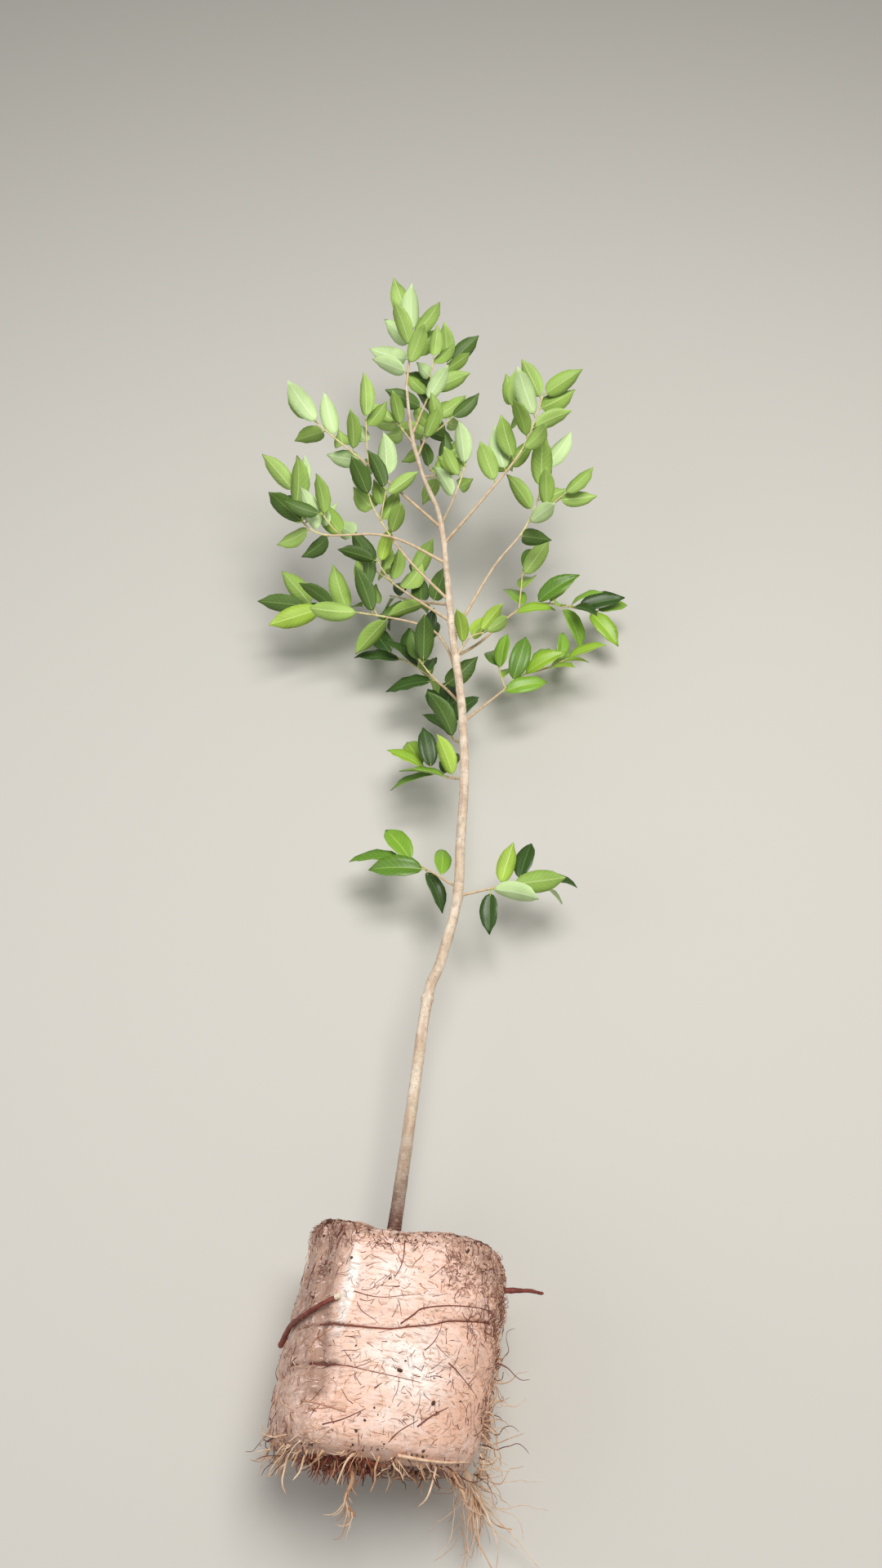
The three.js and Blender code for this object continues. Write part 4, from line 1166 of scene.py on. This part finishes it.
def strandWay(foot, heading, length, draw):
    points, going, steps = [foot], np.array(heading, float), 3
    for i in range(steps):
        going = unit(going + vec(draw() - 0.5, draw() - 0.5, draw() - 0.8))
        point = points[i] + going * length / steps
        point[2] = max(point[2], floorGap + 2 * i)
        points.append(point)
    return Way(points, 6)


def wandering(foot, heading, length, draw, sway):
    # a finer root that wanders more, near the ground
    points, going = [np.array(foot, float)], unit(np.array(heading, float))
    steps = max(4, int(length / 7))
    for _ in range(steps):
        going = unit(going + sway * vec(draw() - 0.5, draw() - 0.5, 0.8 * draw() - 0.5))
        point = points[-1] + going * length / steps
        point[2] = max(point[2], 0.9)
        points.append(point)
    return Way(points, 8)


def woodyRelief(distance, angle):
    lumps = np.stack([distance, 4 * np.cos(angle), 4 * np.sin(angle)], -1)
    return 0.7 * rough(lumps, 5, 2, 8)


def onward(foot, steps, pieces):
    return Way([foot, *[foot + vec(*step) for step in steps]], pieces)


def addRoot(bm, way, look, **others):
    addTube(bm, way, tapered(way, look["thick"], look["thin"]), look["sides"], look["step"],
            **others)


def addWoodyRoots():
    bm = bmesh.new()
    way = Way([onBall(a, y, shareAt(y), cutRoot["seat"]) for a, y in cutRoot["way"]], 10)
    addRoot(bm, way, cutRoot, relief=woodyRelief, blunt=1.0)
    tip, heading = way.at(way.length), way.heading(way.length)
    cut = Way([tip + heading * d for d in cutRoot["cutAt"]], 2)
    addTube(bm, cut, lambda d: cutRoot["cutThick"], cutRoot["sides"], 0.6, material=1, blunt=0.8)
    foot = onBall(stub["angle"], stub["along"], shareAt(stub["along"]), stub["seat"])
    addRoot(bm, onward(foot, stub["way"], 10), stub, relief=woodyRelief)
    addPiece("woody_roots", bm, ["red_brown_root_bark", "cut_root_wood"],
             ["root_cut", "root_stub"])


def addFineRoot(bm, group, foot, heading, draw):
    way = wandering(foot, heading, pick(draw, group["length"]), draw, group["sway"])
    kind = int(pick(draw, group["kinds"]))
    look = {"sides": 4, "step": 3.2, **group, "thick": pick(draw, group["thick"])}
    addRoot(bm, way, look, material=kind)


def addOnBall(bm, group, draw):
    angle, share, along = [pick(draw, group[part]) for part in ("angle", "share", "along")]
    heading = vec(*[pick(draw, span) for span in group["heading"]])
    addFineRoot(bm, group, onBall(angle, along, share), heading, draw)


def swingHeading(turn, drop):
    low, high = tuft["swing"]
    swing = math.radians(low + (high - low) * turn)
    return vec(math.cos(swing), math.sin(swing), drop)


def addFineRoots():
    bm = bmesh.new()
    draw = drawer(fringe["seed"])
    ring = Way([onBall(fringe["from"] + (fringe["to"] - fringe["from"]) * i / fringe["turns"],
                       fringe["along"], fringe["share"]) for i in range(fringe["turns"] + 1)], 6)
    for i in range(fringe["strands"]):
        foot = ring.at(ring.length * (i + 0.2 + 0.6 * draw()) / fringe["strands"])
        outward = unit(vec(foot[0], 0, foot[2] - ballHeight)) * 0.5 * draw()
        way = strandWay(foot, outward + vec(0, -1, 0), pick(draw, fringe["length"]), draw)
        addRoot(bm, way, fringe, material=i % 2)
    draw = drawer(tuft["seed"])
    foot = onBall(tuft["angle"], tuft["along"], shareAt(tuft["along"]), tuft["clear"])
    neck = onward(foot, tuftNeck["way"], 6)
    addRoot(bm, neck, tuftNeck)
    for i in range(tuft["strands"]):
        start = neck.at(neck.length * (0.5 + 0.5 * draw()))
        heading = swingHeading((i + draw()) / tuft["strands"], -0.1)
        way = strandWay(start, heading, pick(draw, tuft["length"]), draw)
        addRoot(bm, way, tuft, material=i % 2)
    draw, group = drawer(fineSeed), fineRoots["ring"]
    for _ in range(group["count"]):
        foot = ring.at(ring.length * draw()) + vec(0, pick(draw, group["rise"]), 0)
        outward = unit(vec(foot[0], 0, foot[2] - ballHeight)) * pick(draw, group["outward"])
        addFineRoot(bm, group, foot, outward + vec(0, pick(draw, group["footward"]), 0), draw)
    group = fineRoots["tuft"]
    for _ in range(group["count"]):
        heading = swingHeading(draw(), -0.2)
        addFineRoot(bm, group, neck.at(neck.length * pick(draw, group["start"])), heading, draw)
    for name in ("right", "left"):
        for _ in range(fineRoots[name]["count"]):
            addOnBall(bm, fineRoots[name], draw)
    way, group = onward(onBall(*bundle["foot"]), bundle["way"], 8), fineRoots["bundle"]
    addRoot(bm, way, bundle, material=1, relief=woodyRelief)
    for _ in range(group["count"]):
        foot = way.at(way.length * pick(draw, group["start"]))
        heading = vec(*[pick(draw, span) for span in group["heading"]])
        addFineRoot(bm, group, foot, heading, draw)
    for _ in range(mats["count"]):
        addOnBall(bm, mats["left" if draw() < mats["leftShare"] else "right"], draw)
    materials = ["pale_fine_root", "tan_fine_root", "dark_fine_root", "red_brown_fine_root"]
    addPiece("fine_roots_at_the_foot", bm, materials, ["root_fringe", "root_tuft"])


# Root hairs that lie on the cloth. The long ones follow the photograph: thickness, material and
# places (angle, along)
longHairs = [
    (1.0, 0, [(129, 17), (118, 14.5), (107, 12.2), (92, 10.2), (84, 11), (79, 13), (66, 17),
     (56, 22.5), (41, 26), (24, 31)]),
    (0.6, 0, [(122, -19), (107, -21.5), (95, -25.5), (86, -28), (68, -32)]),
    (0.9, 0, [(128, -18), (116, -20), (104, -22)]),
    (0.7, 0, [(113, -71), (103, -66), (93, -57)]),
    (0.7, 0, [(78, -81), (73, -71), (65, -62)]),
    (0.8, 0, [(64, -66), (57, -56), (50, -49)]),
    (0.8, 0, [(83, 15), (77, 24), (73, 30), (60, 35), (46, 38), (26, 41)]),
    (0.5, 0, [(110, 42), (102, 38), (94, 37), (84, 40), (74, 43)]),
    (0.5, 0, [(68, -6), (64, 2), (61, 15), (59, 27)]),
    (0.7, 0, [(89, 89), (88, 74), (89, 62), (91, 54)]),
    (0.4, 0, [(72, 58), (68, 65), (63, 76)]),
    (0.6, 0, [(54, -14), (47, -20), (40, -28), (30, -38)]),
    (0.4, 0, [(106, 35), (102, 33), (97, 36)]),
    (0.4, 0, [(107, 32), (104, 25), (97, 18), (93, 12)]),
    (0.4, 1, [(105, 7), (103, -3), (100, -13), (100, -36)]),
    (0.7, 0, [(90, -40), (86, -34)]),
    (0.4, 0, [(36, -10), (37, 1), (35, 12)]),
    (0.9, 2, [(121, 10), (128, 0), (126, -15), (124, -31)]),
    (0.9, 2, [(128, -50), (116, -54), (103, -60)]),
    (0.7, 2, [(122, -58), (112, -57), (106, -54)]),
    (0.7, 1, [(131, -56), (122, -52), (116, -47)]),
    (1.1, 1, [(108, -73), (115, -82), (123, -87)]),
    (0.6, 1, [(146, -6), (141, -17), (130, -21)]),
    (0.7, 1, [(150, -46), (142, -52), (134, -57)]),
    (1.6, 1, [(70, -88), (51, -88), (36, -86), (20, -82), (4, -80)]),
]


# Short hairs by chance: their number, spans of angle, along and length, curl, lift off the cloth
# and share of pale ones. They lie everywhere, and in tangles at the right edge, the rims and
# the left panel
hairGroups = [
    (200, (18, 122), (-84, 88), (3, 22, 2), 0.6, 0, 0.2),
    (420, (20, 124), (-86, 90), (4, 14, 2), 1.4, 0.3, 0.85),
    (300, (-8, 27), (-64, 64), (8, 30, 2), 1.9, 6, 0.68),
    (60, (10, 46), (8, 44), (10, 30, 2), 1.0, 4, 0.2),
    (340, (10, 66), (50, 100), (5, 20, 2), 2.2, 4, 0.6),
    (230, (64, 172), (84, 101), (4, 18, 2), 1.9, 4, 0.4),
    (60, (126, 146), (40, 96), (3, 12, 2), 1.6, 1, 0.1),
    (190, (122, 180), (-84, 70), (6, 26, 2), 1.0, 2, 0.55),
    (120, (20, 170), (-89, -68), (5, 20, 2), 1.6, 2, 0.85),
]
hairLook = {"seed": 77, "step": 2.6, "thick": (0.2, 0.42), "tip": 0.6, "longTip": 0.4, "least": 3,
            "seat": 0.25, "longSeat": 0.7, "from": -88, "to": 99}


def onCloth(degrees, along, clear):
    rise = clothRise(degrees, along) * smooth(*ball["sideAt"], shareAt(along))
    return onBag(degrees, along, shareAt(along), rise + clear)


def addRootHairs():
    bm = bmesh.new()
    for thick, kind, places in longHairs:
        course = Way([(math.radians(a) * ball["radius"], y, 0) for a, y in places], 6)
        spots = np.array([course.at(d) for d in np.arange(0, course.length + 2, 4)])
        degrees = np.degrees(spots[:, 0] / ball["radius"])
        way = Way(onCloth(degrees, spots[:, 1], thick * hairLook["longSeat"]), 2)
        addTube(bm, way, tapered(way, thick, thick * hairLook["longTip"]), 5, 2.5, material=kind)
    draw, step = drawer(hairLook["seed"]), hairLook["step"]
    for count, angle, along, length, curl, lift, pale in hairGroups:
        for _ in range(count):
            a, y, turn = pick(draw, angle), pick(draw, along), 6.28 * draw()
            spots = []
            for _ in range(max(hairLook["least"], int(pick(draw, length) / step) + 1)):
                spots.append((a, y))
                turn += curl * (draw() - 0.5)
                a += math.degrees(step * math.cos(turn) / ball["radius"])
                y += step * math.sin(turn)
            degrees, y = np.array(spots).T
            rise = lift * draw() * np.sin(np.linspace(0, 2 + draw(), len(spots)))
            y = np.clip(y, hairLook["from"], hairLook["to"])
            way = Way(onCloth(degrees, y, hairLook["seat"] + rise), 2)
            radius = pick(draw, hairLook["thick"])
            kind = 1 + int(2 * draw()) if draw() < pale else 0
            addTube(bm, way, tapered(way, radius, radius * hairLook["tip"]), 4, 2.2, material=kind)
    addPiece("root_hairs_on_cloth", bm, ["dark_root_hair", "pale_root_hair", "tan_root_hair"])


# Crumbs of soil: places (angle, along) and radius of those that show, dark and pale, and spans of
# angle, along and radius for more by chance on the rim, the foot and the cloth
crumbs = {
    "seed": 91,
    "dark": [(79, -24, 2.6), (93, 54, 1.6), (91, 57, 1.1), (95.5, -74, 1.7), (77, -16, 1.2),
             (92, -65.5, 1.3), (114.5, 70.5, 1.5), (58.5, -47, 2.6), (136, 41, 1.6)],
    "pale": [(76, -80.5, 1.3)], "placedSeat": 0.4, "seat": 0.3, "rough": 0.25,
    "scattered": [(90, (8, 176), (88, 99), (0.7, 2.1, 3)),
                  (46, (20, 172), (-88, -80), (0.7, 2.1, 3)),
                  (40, (14, 172), (-84, 92), (0.7, 1.54, 3))],
}


def addCrumb(bm, angle, along, radius, seat, draw, material, detail):
    place = onCloth(np.array([angle]), np.array([along]), radius * seat)[0]
    turn = Euler((6.28 * draw(), 6.28 * draw(), 6.28 * draw())).to_matrix().to_4x4()
    shape = Matrix.Diagonal((1, 0.55 + 0.4 * draw(), 0.5 + 0.3 * draw(), 1))
    made = bmesh.ops.create_icosphere(
        bm, subdivisions=detail, radius=radius * metre,
        matrix=Matrix.Translation([float(p) * metre for p in place]) @ turn @ shape)
    for vert in made["verts"]:
        vert.co += noise.noise_vector(vert.co * 900) * radius * metre * crumbs["rough"]
    for face in {face for vert in made["verts"] for face in vert.link_faces}:
        face.material_index = material


def addCrumbs():
    bm = bmesh.new()
    draw = drawer(crumbs["seed"])
    noise.seed_set(crumbs["seed"])  # or else noise_vector differs from run to run
    for material, kind in enumerate(("dark", "pale")):
        for angle, along, radius in crumbs[kind]:
            addCrumb(bm, angle, along, radius, crumbs["placedSeat"], draw, material, 2)
    for count, *spans in crumbs["scattered"]:
        for _ in range(count):
            addCrumb(bm, *[pick(draw, span) for span in spans], crumbs["seat"], draw, 0, 1)
    addPiece("soil_crumbs", bm, ["dark_soil_crumb", "perlite"])


addWoodyRoots()
addFineRoots()
addRootHairs()
addCrumbs()


# Floor and light, in metres

studio = {
    "floor": {"size": 6, "colour": "#C9C7C1", "roughness": 0.9},
    "lamps": {
        "key_softbox": {"place": (0.45, 0.75, 2.9), "target": (0, 0.55, 0), "size": 1.5,
                        "power": 81, "colour": "#FFFCF8"},
        "side_fill": {"place": (-2.2, -0.4, 1.8), "target": (0, 0.5, 0.1), "size": 2.0,
                      "power": 16, "colour": "#F8FAFF"},
    },
    "world": {"Color": "#F1EFEA", "Strength": 0.34},
}


def addFloor(look):
    bm = bmesh.new()
    bmesh.ops.create_grid(bm, x_segments=1, y_segments=1, size=look["size"])
    mesh = toMesh("floor", bm)
    mesh.materials.append(newMaterial("pale_matt_floor", look["colour"], look["roughness"])[0])
    floor = bpy.data.objects.new("floor", mesh)
    bpy.context.scene.collection.objects.link(floor)


def addLight(name, look):
    lamp = bpy.data.lights.new(name, "AREA")
    lamp.size, lamp.energy, lamp.color = look["size"], look["power"], linear(look["colour"])[:3]
    light = bpy.data.objects.new(name, lamp)
    light.location = look["place"]
    aim = vec(*look["target"]) - vec(*look["place"])
    light.rotation_euler = (math.acos(-aim[2] / np.linalg.norm(aim)), 0,
                            math.atan2(aim[0], -aim[1]) + math.pi)
    bpy.context.scene.collection.objects.link(light)


bpy.context.scene.view_settings.view_transform = "Standard"
addFloor(studio["floor"])
for name, look in studio["lamps"].items():
    addLight(name, look)
world = bpy.data.worlds.new("studio")
world.use_nodes = True
sky = world.node_tree.nodes["Background"].inputs
sky["Color"].default_value = linear(studio["world"]["Color"])
sky["Strength"].default_value = studio["world"]["Strength"]
bpy.context.scene.world = world
print("studio: floor, lights and world")
